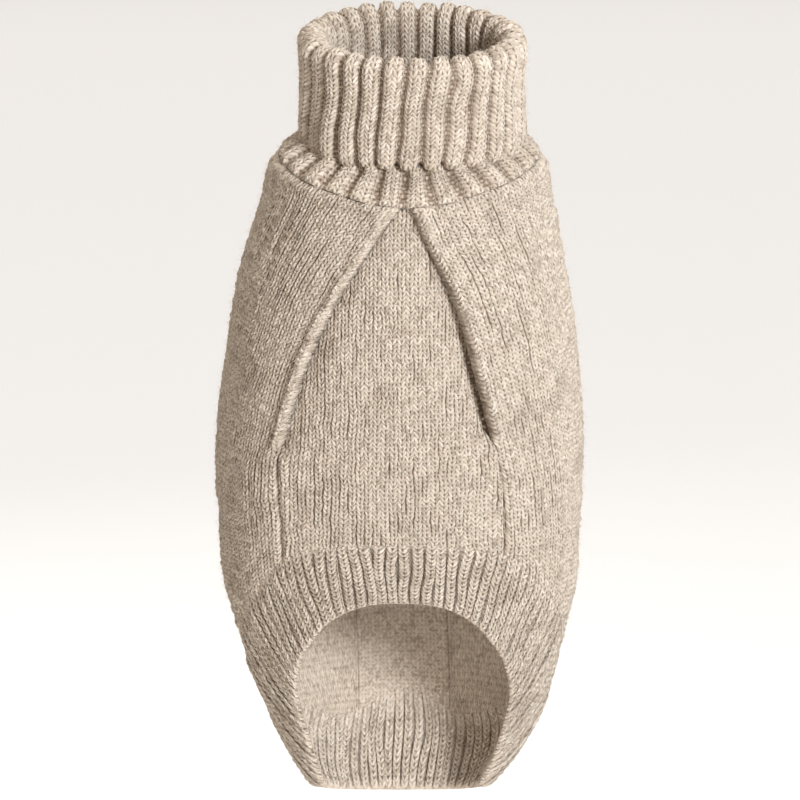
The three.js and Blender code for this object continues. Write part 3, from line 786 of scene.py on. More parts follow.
def knit_hem(name, sizes, seed, gap):
    """The all-round hem rib, ribbed on both faces, with a rounded edge."""
    knit = Knit()
    top_share, top_angle, _ = walked_line(HEM_TOP)
    edge_share, edge_angle, edge_z = walked_line(HEM_EDGE)
    columns = rib_columns(HEM_RIB, sizes.hem_ribs)
    number = np.repeat(np.arange(sizes.hem_ribs), len(HEM_RIB))[:, None]
    courses = sizes.hem_courses
    rng = np.random.default_rng(seed)
    rib_factor = np.repeat(rng.normal(1.0, 0.18, sizes.hem_ribs), len(HEM_RIB))[:, None]

    def place(around, down):
        around = (around + sizes.hem_crowding * np.sin(2 * math.pi * around) / (2 * math.pi)) % 1.0
        share = np.where(around <= 0.5, 2 * around, 2 - 2 * around)
        sign = np.where(around <= 0.5, 1.0, -1.0)
        start = np.interp(share, top_share, top_angle)
        start_z = hem_level(start) - gap
        end = np.interp(share, edge_share, edge_angle)
        end_z = np.interp(share, edge_share, edge_z)
        angle = start + (end - start) * down
        return sign * angle, start_z + (end_z - start_z) * down

    lines = []
    for face, shift, fade in ((1, 0.0, 1.8), (-1, 0.5 / sizes.hem_ribs, 5.5)):
        rows = np.arange(-4, (courses + 2) * ROWS_PER_STITCH)
        course = rows[None, :] / ROWS_PER_STITCH - sizes.chevron * columns[:, 2:3]
        down = snapped(course / courses, 0.01)
        shown = np.clip(down, 0, 1)
        flat = 0 * shown
        sway = 0.5 * (soft_noise(seed + face, number / 1.7 + flat, shown * 2.5) - 0.5) / sizes.hem_ribs
        around = columns[:, 0:1] + shift + sway
        angle, z = place(around, shown)
        points = body_point(angle, z)
        _, _, outward = body_directions(angle, z)
        to_edge = (1 - shown) * courses * sizes.course / MM
        start_at = fade * soft_noise(seed + 5, 1.3 * number + flat, flat)
        ramp = np.clip((shown * courses - 0.9 * start_at) / (0.6 * fade), 0, 1)
        ramp = ramp * np.clip((to_edge - 0.4) / 3.2, 0, 1)
        raise_mm = sizes.hem_raise / MM * columns[:, 3:4] * rib_factor * ramp
        row = ROW_HEIGHT[rows % ROWS_PER_STITCH][None, :]
        uneven = 0.8 + 0.4 * soft_noise(seed + 6, number + flat, course)
        relief = columns[:, 4:5] * (0.3 + 0.7 * row) * uneven
        relief = settle(relief, np.clip(shown * courses / (0.7 * fade), 0, 1))
        relief = settle(relief, np.clip((to_edge - 0.3) / 2.6, 0, 1))
        lip = 1.4 * (1 - np.sqrt(np.clip(1 - (1 - to_edge / 1.7) ** 2, 0, 1))) * (to_edge < 1.7)
        purl = columns[:, 5:6] * ramp
        felted = 0.45 * hump(to_edge, 1.8)
        if face > 0:
            base = creases(angle, z) - 0.5 - 0.9 * ramp
        else:
            base = sizes.wall / MM - 0.4 * ramp
            raise_mm, relief, purl = 0.85 * raise_mm, settle(relief, 0.85), 0.5 * purl
            felted = felted + 0.65 - 0.3 * ramp
        points = points + face * outward * (base + raise_mm - lip)[..., None]
        stitches = (np.broadcast_to(columns[:, 1:2], shown.shape), shown * courses)
        index = knit.add(points, face * outward, relief, stitches, purl, 0.25 + 0.3 * ramp, felted)
        first, last = clamp_merge(down, index)
        ring = np.vstack([index, index[:1]])
        knit.lattice(ring if face > 0 else ring[::-1])
        order = np.arange(len(index))
        lines.append((index[order, first], index[order, last]))
    turns = np.arange(len(columns) + 1)
    half_rib = int(round(0.5 * len(HEM_RIB)))
    for end in (0, 1):
        outer = np.append(lines[0][end], lines[0][end][0])
        inner = np.roll(lines[1][end], half_rib)
        inner = np.append(inner, inner[0])
        knit.zipper(outer, turns, inner, turns, rim=end == 0)
    return knit.mesh(name)


def neck_section_points(angle, row):
    """Points of the roll neck's section at whole rows of its table."""
    over, rise, out, flare = (NECK_SECTION[row, k] for k in range(4))
    turn = np.radians(angle)
    front = np.cos(turn)
    foot_z = neck_level(wrapped(angle)) + 0.02
    crest = NECK_CREST[0] - NECK_CREST[1] * front
    edge = NECK_EDGE[0] - NECK_EDGE[1] * front
    z = np.where(over > 0, edge + (crest - edge) * rise, foot_z + (crest - foot_z) * rise)
    x = NECK_MIDDLE[0] + (NECK_HALF[0] + out) * np.sin(turn)
    y = NECK_MIDDLE[1] - (NECK_HALF[1] + out) * front
    level = neck_level(wrapped(angle))
    foot = body_point(angle, level) + body_directions(angle, level)[2] * (out - NECK_FOOT_WALL)[..., None]
    x = x + (foot[..., 0] - x) * flare
    y = y + (foot[..., 1] - y) * flare
    return np.stack([x, y, z], axis=-1)


def neck_point(angle, row):
    """Points of the roll neck's section anywhere along it, smoothly between its rows."""
    last = len(NECK_SECTION) - 1
    row = np.clip(row, 0, last)
    low = np.clip(np.floor(row).astype(int), 0, last - 1)
    before, start, end, after = (neck_section_points(angle, np.clip(low + k, 0, last)) for k in (-1, 0, 1, 2))
    return hermite((row - low)[..., None], start, (end - before) / 2, end, (after - start) / 2)


def knit_neck(name, sizes, seed):
    """The roll neck: one tube of 2x2 rib, folded over, with the hidden face kept plain."""
    knit = Knit()
    columns = rib_columns(NECK_RIB, sizes.neck_ribs)
    number = np.repeat(np.arange(sizes.neck_ribs), len(NECK_RIB))[:, None] + columns[:, 1:2] % 4 / 4
    last = len(NECK_SECTION) - 1
    fine = np.linspace(0, last, 40 * last + 1)
    length = walked(neck_point(np.full(fine.shape, 60.0), fine))
    end = length[-1]
    step = sizes.course / MM
    places = (NECK_CREST_ROW, NECK_EDGE_ROW, NECK_HIDDEN_ROW, NECK_FOOT_ROW)
    crest_at, edge_at, hidden_at, foot_at = (np.interp(row, fine, length) for row in places)
    shown_a = np.arange(0, hidden_at, step / ROWS_PER_STITCH)
    hidden = np.linspace(hidden_at, foot_at, 14)
    shown_b = np.arange(foot_at, end - 0.3, step / ROWS_PER_STITCH)[1:]
    along = np.concatenate([shown_a, hidden, shown_b, [end]])
    stitched = np.clip((hidden_at - along) / 1.5, 0, 1) + np.clip((along - foot_at) / 2.0, 0, 1)
    settled = np.clip((end - along) / 2.0, 0, 1)
    rng = np.random.default_rng(seed)
    rib_factor = np.repeat(rng.normal(1.0, 0.10, sizes.neck_ribs), len(NECK_RIB))[:, None]
    chevron = sizes.chevron * step * columns[:, 2:3] * (stitched * settled)[None, :]
    at = np.clip(along[None, :] - chevron, 0, end)
    flat = 0 * at
    row = np.interp(at, length, fine)
    pitch = 1.0 / sizes.neck_ribs
    foot = np.clip((along - hidden_at) / (foot_at - hidden_at), 0, 1)[None, :]
    turned = np.clip((at - crest_at) / (edge_at - crest_at), 0, 1) * (along < hidden_at)[None, :]
    sway = 4.6 * (soft_noise(seed, number * 10.0 / sizes.neck_ribs + flat, at / 26.0) - 0.5)
    sway = sway + 1.9 * (soft_noise(seed + 1, number + flat, at / 12.0) - 0.5)
    sway = sway * np.clip(np.minimum(number, sizes.neck_ribs - number) / 3, 0, 1) * stitched[None, :]
    in_rib = (columns[:, 0:1] * sizes.neck_ribs) % 1.0
    narrow = 1 - 0.15 * foot
    beyond = 1 - (1 - in_rib) * (1 - NECK_RIB_WIDTH * narrow) / (1 - NECK_RIB_WIDTH)
    spread = np.where(in_rib <= NECK_RIB_WIDTH, in_rib * narrow, beyond) + NECK_RIB_WIDTH / 2 * (1 - narrow)
    share = columns[:, 0:1] + (spread - in_rib - 0.335 - 0.07 * foot) * pitch + sizes.neck_turn / 360
    angle = even_turn(share, NECK_HALF[0] + 7.0, NECK_HALF[1] + 7.0) + sway - 7.0 * turned
    points = neck_point(angle, row)
    around = neck_point(angle + 0.5, row) - neck_point(angle - 0.5, row)
    ahead = neck_point(angle, np.clip(row + 0.05, 0, last)) - neck_point(angle, np.clip(row - 0.05, 0, last))
    outward = np.cross(ahead, around)
    outward /= np.linalg.norm(outward, axis=-1, keepdims=True)
    ramp = stitched[None, :] * np.clip(0.25 + (end - at) / 3.0, 0, 1) * np.clip(0.3 + at / 4.0, 0, 1)
    bulge = 0.85 + 0.35 * soft_noise(seed + 2, np.floor(number) + flat, at / 14.0)
    raise_mm = sizes.neck_raise / MM * columns[:, 3:4] * rib_factor * ramp * bulge
    rows = np.round(along / (step / ROWS_PER_STITCH)).astype(int)
    height = ROW_HEIGHT[rows % ROWS_PER_STITCH][None, :]
    stitch = columns[:, 1:2]
    uneven = 0.8 + 0.4 * soft_noise(seed + 3, stitch + flat, at / step)
    relief = columns[:, 4:5] * (0.4 + 0.6 * height) * uneven
    relief = settle(relief, (stitched * settled)[None, :])
    points = points + outward * (raise_mm - 0.3 - 0.9 * ramp)[..., None]
    groove = np.abs(stitch - 4 * np.floor(stitch / 4) - 1.0) > 0.6
    gaps = np.where(groove, 0.4, 0.1) * ramp
    purl = columns[:, 5:6] * ramp
    felted = 0.18 * soft_noise(seed + 4, stitch / 3 + flat, at / 9)
    index = knit.add(points, outward, relief, (stitch, at / step), purl, gaps, felted)
    ring = np.vstack([index, index[:1]])
    ring = np.hstack([ring, ring[:, :1]])
    knit.lattice(ring)
    return knit.mesh(name)


# The wool's three fibre colours, the tint of the painted shade that darkens the hollows between stitches, and
# what its finest fibres are multiplied by.
COLOUR_LABELS = ("Light", "Middle", "Dark")
PAINTED_SHADE_TINT = (0.225, 0.155, 0.105, 1)
FINE_FIBRE_TINT = (0.84, 0.84, 0.84, 1)

# Metres of bump of a stitch and of the fibres, how strong the painted shade in the hollows is, and hills in a
# metre of the cloth.
STITCH_BUMP = 0.0010
FIBRE_BUMP = 0.0009
PAINTED_SHADE_STRENGTH = 0.9
CLOTH_PATCHES = 28.0

# Metres from a rib's stitch legs to the gaps between them.
RIB_RELIEF = 0.0009


def new_tree(name, kind, inputs, outputs):
    """A node group with named sockets, and its input and output nodes."""
    tree = bpy.data.node_groups.new(name, kind)
    for label, socket, default in inputs:
        made = tree.interface.new_socket(name=label, in_out="INPUT", socket_type=socket)
        if default is not None:
            made.default_value = default
    for label, socket in outputs:
        tree.interface.new_socket(name=label, in_out="OUTPUT", socket_type=socket)
    return tree, tree.nodes.new("NodeGroupInput"), tree.nodes.new("NodeGroupOutput")


def math_node(tree, operation, *values):
    """A math node with each input linked or set."""
    node = tree.nodes.new("ShaderNodeMath")
    node.operation = operation
    for socket, value in zip(node.inputs, values):
        if isinstance(value, (int, float)):
            socket.default_value = value
        else:
            tree.links.new(value, socket)
    return node.outputs[0]


def relief_tree():
    """Moves a piece's points out by their stitch relief, and by a soft unevenness of the cloth."""
    tree, given, result = new_tree(
        "Knit relief",
        "GeometryNodeTree",
        [
            ("Geometry", "NodeSocketGeometry", None),
            ("Stitch relief", "NodeSocketFloat", 0.0011),
            ("Unevenness", "NodeSocketFloat", 0.001),
            ("Patches per metre", "NodeSocketFloat", CLOTH_PATCHES),
            ("Material", "NodeSocketMaterial", None),
        ],
        [("Geometry", "NodeSocketGeometry")],
    )
    tree.is_modifier = True
    relief = tree.nodes.new("GeometryNodeInputNamedAttribute")
    relief.data_type = "FLOAT"
    relief.inputs["Name"].default_value = "relief"
    outward = tree.nodes.new("GeometryNodeInputNamedAttribute")
    outward.data_type = "FLOAT_VECTOR"
    outward.inputs["Name"].default_value = "outward"
    noise = tree.nodes.new("ShaderNodeTexNoise")
    noise.inputs["Detail"].default_value = 2.0
    tree.links.new(given.outputs["Patches per metre"], noise.inputs["Scale"])
    raised = math_node(tree, "MULTIPLY", relief.outputs["Attribute"], given.outputs["Stitch relief"])
    centred = math_node(tree, "SUBTRACT", noise.outputs["Fac"], 0.5)
    uneven = math_node(tree, "MULTIPLY", centred, given.outputs["Unevenness"])
    total = math_node(tree, "ADD", raised, uneven)
    scale = tree.nodes.new("ShaderNodeVectorMath")
    scale.operation = "SCALE"
    tree.links.new(outward.outputs["Attribute"], scale.inputs[0])
    tree.links.new(total, scale.inputs["Scale"])
    move = tree.nodes.new("GeometryNodeSetPosition")
    real = tree.nodes.new("GeometryNodeRealizeInstances")
    paint = tree.nodes.new("GeometryNodeSetMaterial")
    tree.links.new(given.outputs["Geometry"], move.inputs["Geometry"])
    tree.links.new(scale.outputs[0], move.inputs["Offset"])
    tree.links.new(move.outputs[0], real.inputs[0])
    tree.links.new(real.outputs[0], paint.inputs["Geometry"])
    tree.links.new(given.outputs["Material"], paint.inputs["Material"])
    tree.links.new(paint.outputs[0], result.inputs[0])
    return tree


def fuzz_tree():
    """Sets loose fibres on a piece's face side, each a thin bent ribbon, and keeps only the fibres."""
    tree, given, result = new_tree(
        "Loose fibres",
        "GeometryNodeTree",
        [
            ("Geometry", "NodeSocketGeometry", None),
            ("Fibres per square metre", "NodeSocketFloat", 200000.0),
            ("Fibre length", "NodeSocketFloat", 0.0035),
            ("Fibre width", "NodeSocketFloat", 0.00007),
            ("Seed", "NodeSocketInt", 1),
            ("Material", "NodeSocketMaterial", None),
        ],
        [("Geometry", "NodeSocketGeometry")],
    )
    tree.is_modifier = True
    kind = tree.nodes.new("GeometryNodeInputNamedAttribute")
    kind.data_type = "FLOAT_VECTOR"
    kind.inputs["Name"].default_value = "kind"
    parts = tree.nodes.new("ShaderNodeSeparateXYZ")
    tree.links.new(kind.outputs["Attribute"], parts.inputs[0])
    face_side = math_node(tree, "SUBTRACT", 1.0, parts.outputs["Z"])
    spread = tree.nodes.new("GeometryNodeDistributePointsOnFaces")
    tree.links.new(given.outputs["Geometry"], spread.inputs["Mesh"])
    density = math_node(tree, "MULTIPLY", face_side, given.outputs["Fibres per square metre"])
    tree.links.new(density, spread.inputs["Density"])
    tree.links.new(given.outputs["Seed"], spread.inputs["Seed"])
    arc = tree.nodes.new("GeometryNodeCurvePrimitiveBezierSegment")
    arc.mode = "POSITION"
    arc.inputs["Resolution"].default_value = 2
    arc.inputs["Start"].default_value = (0, 0, 0)
    arc.inputs["Start Handle"].default_value = (0.05, 0, 0.35)
    arc.inputs["End Handle"].default_value = (0.3, 0.1, 0.55)
    arc.inputs["End"].default_value = (0.75, 0.12, 0.5)
    flat = tree.nodes.new("GeometryNodeCurvePrimitiveLine")
    flat.inputs["Start"].default_value = (-0.5, 0, 0)
    flat.inputs["End"].default_value = (0.5, 0, 0)
    thin = tree.nodes.new("GeometryNodeTransform")
    wide = tree.nodes.new("ShaderNodeCombineXYZ")
    ratio = math_node(tree, "DIVIDE", given.outputs["Fibre width"], given.outputs["Fibre length"])
    for socket in ("X", "Y", "Z"):
        tree.links.new(ratio, wide.inputs[socket])
    tree.links.new(flat.outputs[0], thin.inputs["Geometry"])
    tree.links.new(wide.outputs[0], thin.inputs["Scale"])
    ribbon = tree.nodes.new("GeometryNodeCurveToMesh")
    tree.links.new(arc.outputs[0], ribbon.inputs["Curve"])
    tree.links.new(thin.outputs[0], ribbon.inputs["Profile Curve"])
    spin = tree.nodes.new("FunctionNodeRandomValue")
    spin.data_type = "FLOAT_VECTOR"
    spin.inputs["Min"].default_value = (-0.9, -0.9, 0.0)
    spin.inputs["Max"].default_value = (0.9, 0.9, 6.283)
    tree.links.new(given.outputs["Seed"], spin.inputs["Seed"])
    size = tree.nodes.new("FunctionNodeRandomValue")
    size.data_type = "FLOAT"
    size.inputs[2].default_value = 0.35
    size.inputs[3].default_value = 1.25
    tree.links.new(given.outputs["Seed"], size.inputs["Seed"])
    long = math_node(tree, "MULTIPLY", size.outputs[1], given.outputs["Fibre length"])
    turned = tree.nodes.new("FunctionNodeRotateRotation")
    turned.rotation_space = "LOCAL"
    to_rotation = tree.nodes.new("FunctionNodeEulerToRotation")
    tree.links.new(spin.outputs[0], to_rotation.inputs[0])
    tree.links.new(spread.outputs["Rotation"], turned.inputs[0])
    tree.links.new(to_rotation.outputs[0], turned.inputs[1])
    place = tree.nodes.new("GeometryNodeInstanceOnPoints")
    tree.links.new(spread.outputs["Points"], place.inputs["Points"])
    tree.links.new(ribbon.outputs[0], place.inputs["Instance"])
    tree.links.new(turned.outputs[0], place.inputs["Rotation"])
    tree.links.new(long, place.inputs["Scale"])
    real = tree.nodes.new("GeometryNodeRealizeInstances")
    paint = tree.nodes.new("GeometryNodeSetMaterial")
    tree.links.new(place.outputs[0], real.inputs[0])
    tree.links.new(real.outputs[0], paint.inputs["Geometry"])
    tree.links.new(given.outputs["Material"], paint.inputs["Material"])
    tree.links.new(paint.outputs[0], result.inputs[0])
    return tree


def apply_tree(piece, tree, values):
    """Runs a geometry tree on a piece with the given inputs, and keeps its result as a plain mesh."""
    modifier = piece.modifiers.new(tree.name, "NODES")
    modifier.node_group = tree
    inputs = [s for s in tree.interface.items_tree if s.item_type == "SOCKET" and s.in_out == "INPUT"]
    sockets = {socket.name: socket.identifier for socket in inputs}
    for label, value in values.items():
        modifier[sockets[label]] = value
    graph = bpy.context.evaluated_depsgraph_get()
    shaped = piece.evaluated_get(graph)
    done = bpy.data.meshes.new_from_object(shaped, preserve_all_data_layers=True, depsgraph=graph)
    done.name = piece.name
    piece.modifiers.remove(modifier)
    piece.data = done
    if not len(done.polygons):
        raise RuntimeError(f"{piece.name} came out empty")


def stitch_group():
    """Height of a stitch from its place in the stitch map: steep legs with holes between, or purl bumps."""
    name = "Stitch height"
    if name in bpy.data.node_groups:
        return bpy.data.node_groups[name]
    tree, given, result = new_tree(
        name,
        "ShaderNodeTree",
        [
            ("Stitches", "NodeSocketVector", None),
            ("Purl", "NodeSocketFloat", 0.0),
            ("Gap", "NodeSocketFloat", 0.3),
            ("Felted", "NodeSocketFloat", 0.0),
            ("Chevron", "NodeSocketFloat", 0.9),
            ("Waver", "NodeSocketFloat", 0.22),
        ],
        [("Height", "NodeSocketFloat"), ("Shade", "NodeSocketFloat")],
    )

    def calc(operation, *values):
        return math_node(tree, operation, *values)

    place = tree.nodes.new("ShaderNodeTexCoord")
    waver = tree.nodes.new("ShaderNodeTexNoise")
    waver.inputs["Scale"].default_value = 380.0
    waver.inputs["Detail"].default_value = 2.0
    tree.links.new(place.outputs["Object"], waver.inputs["Vector"])
    shifts = tree.nodes.new("ShaderNodeSeparateColor")
    tree.links.new(waver.outputs["Color"], shifts.inputs[0])
    split = tree.nodes.new("ShaderNodeSeparateXYZ")
    tree.links.new(given.outputs["Stitches"], split.inputs[0])
    shift_u = calc("MULTIPLY", calc("SUBTRACT", shifts.outputs[0], 0.5), given.outputs["Waver"])
    waver_v = calc("MULTIPLY", given.outputs["Waver"], 3.0)
    shift_v = calc("MULTIPLY", calc("SUBTRACT", shifts.outputs[1], 0.5), waver_v)
    u = calc("ADD", split.outputs["X"], shift_u)
    v = calc("ADD", split.outputs["Y"], shift_v)
    across = calc("ABSOLUTE", calc("SUBTRACT", calc("MULTIPLY", calc("FRACT", u), 2.0), 1.0))
    climb = calc("MULTIPLY_ADD", across, given.outputs["Chevron"], v)
    strand = calc("POWER", calc("SINE", calc("MULTIPLY", calc("FRACT", climb), math.pi)), 0.7)
    ridge = calc("POWER", calc("ABSOLUTE", calc("SINE", calc("MULTIPLY", u, 2 * math.pi))), 0.75)
    hole = calc("MULTIPLY_ADD", calc("COSINE", calc("MULTIPLY", v, 2 * math.pi)), 0.24, 0.70)
    beside = calc("POWER", across, 3.0)
    depth = calc("ADD", hole, calc("MULTIPLY", calc("SUBTRACT", given.outputs["Gap"], 0.35), beside))
    leg = calc("SUBTRACT", 1.0, calc("MULTIPLY", calc("SUBTRACT", 1.0, ridge), depth))
    leg = calc("MULTIPLY", leg, calc("MULTIPLY_ADD", strand, 0.55, 0.45))
    # Where a gap stands open the legs beside it sink to nothing, and the painted shade of the hollows darkens
    # the hole.
    open_with_painted_shade = tree.nodes.new("ShaderNodeMapRange")
    open_with_painted_shade.interpolation_type = "SMOOTHSTEP"
    tree.links.new(given.outputs["Gap"], open_with_painted_shade.inputs["Value"])
    open_with_painted_shade.inputs["From Min"].default_value = 0.45
    open_with_painted_shade.inputs["From Max"].default_value = 0.9
    slit = calc("MULTIPLY", calc("POWER", across, 7.0), open_with_painted_shade.outputs["Result"])
    leg = calc("MULTIPLY", leg, calc("SUBTRACT", 1.0, slit))
    bump_v = calc("ABSOLUTE", calc("SINE", calc("MULTIPLY", v, math.pi)))
    half_turns = calc("MULTIPLY", calc("FLOOR", v), 0.5)
    bump_u = calc("SINE", calc("MULTIPLY", calc("ADD", u, half_turns), 2 * math.pi))
    arc = calc("MULTIPLY", bump_v, calc("MULTIPLY_ADD", bump_u, 0.25, 0.45))
    arc = calc("MULTIPLY", arc, calc("MULTIPLY_ADD", given.outputs["Gap"], -0.5, 1.0))
    mix = tree.nodes.new("ShaderNodeMix")
    mix.data_type = "FLOAT"
    tree.links.new(given.outputs["Purl"], mix.inputs[0])
    tree.links.new(leg, mix.inputs[2])
    tree.links.new(arc, mix.inputs[3])
    felt = tree.nodes.new("ShaderNodeMix")
    felt.data_type = "FLOAT"
    felt.inputs[3].default_value = 0.56
    tree.links.new(given.outputs["Felted"], felt.inputs[0])
    tree.links.new(mix.outputs[0], felt.inputs[2])
    tree.links.new(felt.outputs[0], result.inputs["Height"])
    cell = tree.nodes.new("ShaderNodeCombineXYZ")
    tree.links.new(calc("FLOOR", calc("MULTIPLY", u, 2.0)), cell.inputs["X"])
    tree.links.new(calc("FLOOR", climb), cell.inputs["Y"])
    shade = tree.nodes.new("ShaderNodeTexWhiteNoise")
    shade.noise_dimensions = "3D"
    tree.links.new(cell.outputs[0], shade.inputs["Vector"])
    tree.links.new(shade.outputs["Value"], result.inputs["Shade"])
    return tree


def wool_group():
    """Heathered wool: light, middle and dark fibres mixed by stitch, yarn and patch, with painted shade
    darkening the hollows.
    """
    name = "Heathered wool"
    if name in bpy.data.node_groups:
        return bpy.data.node_groups[name]
    tree, given, result = new_tree(
        name,
        "ShaderNodeTree",
        [
            ("Light", "NodeSocketColor", (0.8, 0.7, 0.6, 1)),
            ("Middle", "NodeSocketColor", (0.6, 0.5, 0.4, 1)),
            ("Dark", "NodeSocketColor", (0.3, 0.2, 0.15, 1)),
            ("Height", "NodeSocketFloat", 0.5),
            ("Shade", "NodeSocketFloat", 0.5),
            ("Hollow", "NodeSocketFloat", 0.5),
        ],
        [("Colour", "NodeSocketColor"), ("Fibre", "NodeSocketFloat"), ("Roughness", "NodeSocketFloat")],
    )
    place = tree.nodes.new("ShaderNodeTexCoord")

    def noise(scale, detail, rough):
        node = tree.nodes.new("ShaderNodeTexNoise")
        node.inputs["Scale"].default_value = scale
        node.inputs["Detail"].default_value = detail
        node.inputs["Roughness"].default_value = rough
        tree.links.new(place.outputs["Object"], node.inputs["Vector"])
        return node.outputs["Fac"]

    def ramp(value, low, high, top=1.0):
        node = tree.nodes.new("ShaderNodeMapRange")
        node.interpolation_type = "SMOOTHSTEP"
        tree.links.new(value, node.inputs["Value"])
        node.inputs["From Min"].default_value = low
        node.inputs["From Max"].default_value = high
        node.inputs["To Max"].default_value = top
        return node.outputs["Result"]

    def mix(factor, a, b, blend="MIX"):
        node = tree.nodes.new("ShaderNodeMix")
        node.data_type = "RGBA"
        node.blend_type = blend
        for socket, value in ((node.inputs[0], factor), (node.inputs[6], a), (node.inputs[7], b)):
            if isinstance(value, (int, float, tuple)):
                socket.default_value = value
            else:
                tree.links.new(value, socket)
        return node.outputs[2]

    flecks = noise(1100.0, 2.0, 0.6)
    yarns = noise(420.0, 2.0, 0.6)
    patches = noise(55.0, 3.0, 0.55)
    fibres = noise(2600.0, 2.0, 0.7)
    light, middle, dark = (given.outputs[label] for label in COLOUR_LABELS)
    shade = given.outputs["Shade"]
    colour = mix(ramp(shade, 0.55, 1.0, 0.6), middle, light)
    colour = mix(ramp(math_node(tree, "SUBTRACT", 1.0, shade), 0.6, 1.0, 0.5), colour, dark)
    colour = mix(ramp(flecks, 0.5, 0.68, 0.8), colour, light)
    colour = mix(ramp(math_node(tree, "SUBTRACT", 1.0, yarns), 0.52, 0.7, 0.45), colour, dark)
    colour = mix(ramp(patches, 0.5, 0.72, 0.3), colour, dark)
    # Painted shade: where the stitch height is low, between legs and in open gaps, the colour is multiplied
    # towards a dark brown tint.
    low = math_node(tree, "SUBTRACT", 1.0, ramp(given.outputs["Height"], 0.05, 0.74))
    low = math_node(tree, "MULTIPLY", low, given.outputs["Hollow"])
    colour = mix(low, colour, mix(1.0, colour, PAINTED_SHADE_TINT, "MULTIPLY"))
    fine = mix(ramp(fibres, 0.3, 0.7), FINE_FIBRE_TINT, (1.0, 1.0, 1.0, 1))
    colour = mix(1.0, colour, fine, "MULTIPLY")
    fibre = math_node(tree, "MULTIPLY_ADD", flecks, 0.6, math_node(tree, "MULTIPLY", fibres, 0.4))
    tree.links.new(colour, result.inputs["Colour"])
    tree.links.new(fibre, result.inputs["Fibre"])
    tree.links.new(math_node(tree, "MULTIPLY_ADD", fibres, 0.15, 0.82), result.inputs["Roughness"])
    return tree


def knit_material(name, colours, chevron):
    """Wool knit: stitch shape and fibre in the bump, heathered colour, and the soft sheen of loose fibres."""
    material = bpy.data.materials.new(name)
    material.use_nodes = True
    tree = material.node_tree
    shader = tree.nodes["Principled BSDF"]
    shader.inputs["Sheen Weight"].default_value = 0.1
    shader.inputs["Sheen Roughness"].default_value = 0.6
    shader.inputs["Sheen Tint"].default_value = (1.0, 0.95, 0.88, 1)
    shader.inputs["Specular IOR Level"].default_value = 0.15
    stitches = tree.nodes.new("ShaderNodeUVMap")
    stitches.uv_map = "Stitches"
    kind = tree.nodes.new("ShaderNodeAttribute")
    kind.attribute_name = "kind"
    parts = tree.nodes.new("ShaderNodeSeparateXYZ")
    tree.links.new(kind.outputs["Vector"], parts.inputs[0])
    stitch = tree.nodes.new("ShaderNodeGroup")
    stitch.node_tree = stitch_group()
    stitch.inputs["Chevron"].default_value = chevron
    tree.links.new(stitches.outputs["UV"], stitch.inputs["Stitches"])
    tree.links.new(parts.outputs["X"], stitch.inputs["Purl"])
    tree.links.new(parts.outputs["Y"], stitch.inputs["Gap"])
    tree.links.new(parts.outputs["Z"], stitch.inputs["Felted"])
    wool = tree.nodes.new("ShaderNodeGroup")
    wool.node_tree = wool_group()
    for label, value in zip(COLOUR_LABELS, colours):
        wool.inputs[label].default_value = (*value, 1)
    # Strength of the painted shade in the stitch hollows.
    wool.inputs["Hollow"].default_value = PAINTED_SHADE_STRENGTH
    tree.links.new(stitch.outputs["Height"], wool.inputs["Height"])
    tree.links.new(stitch.outputs["Shade"], wool.inputs["Shade"])
    tree.links.new(wool.outputs["Colour"], shader.inputs["Base Color"])
    tree.links.new(wool.outputs["Roughness"], shader.inputs["Roughness"])
    knit_bump = tree.nodes.new("ShaderNodeBump")
    knit_bump.inputs["Strength"].default_value = 1.0
    knit_bump.inputs["Distance"].default_value = STITCH_BUMP
    tree.links.new(stitch.outputs["Height"], knit_bump.inputs["Height"])
    fibre_bump = tree.nodes.new("ShaderNodeBump")
    fibre_bump.inputs["Strength"].default_value = 1.0
    fibre_bump.inputs["Distance"].default_value = FIBRE_BUMP
    tree.links.new(wool.outputs["Fibre"], fibre_bump.inputs["Height"])
    tree.links.new(knit_bump.outputs["Normal"], fibre_bump.inputs["Normal"])
    tree.links.new(fibre_bump.outputs["Normal"], shader.inputs["Normal"])
    return material


def fibre_material(name, colours):
    """Loose fibres: the same wool at full stitch height, so without the painted shade of the hollows."""
    material = bpy.data.materials.new(name)
    material.use_nodes = True
    tree = material.node_tree
    shader = tree.nodes["Principled BSDF"]
    shader.inputs["Specular IOR Level"].default_value = 0.15
    wool = tree.nodes.new("ShaderNodeGroup")
    wool.node_tree = wool_group()
    for label, value in zip(COLOUR_LABELS, colours):
        wool.inputs[label].default_value = (*value, 1)
    wool.inputs["Height"].default_value = 1.0
    tree.links.new(wool.outputs["Colour"], shader.inputs["Base Color"])
    tree.links.new(wool.outputs["Roughness"], shader.inputs["Roughness"])
    return material


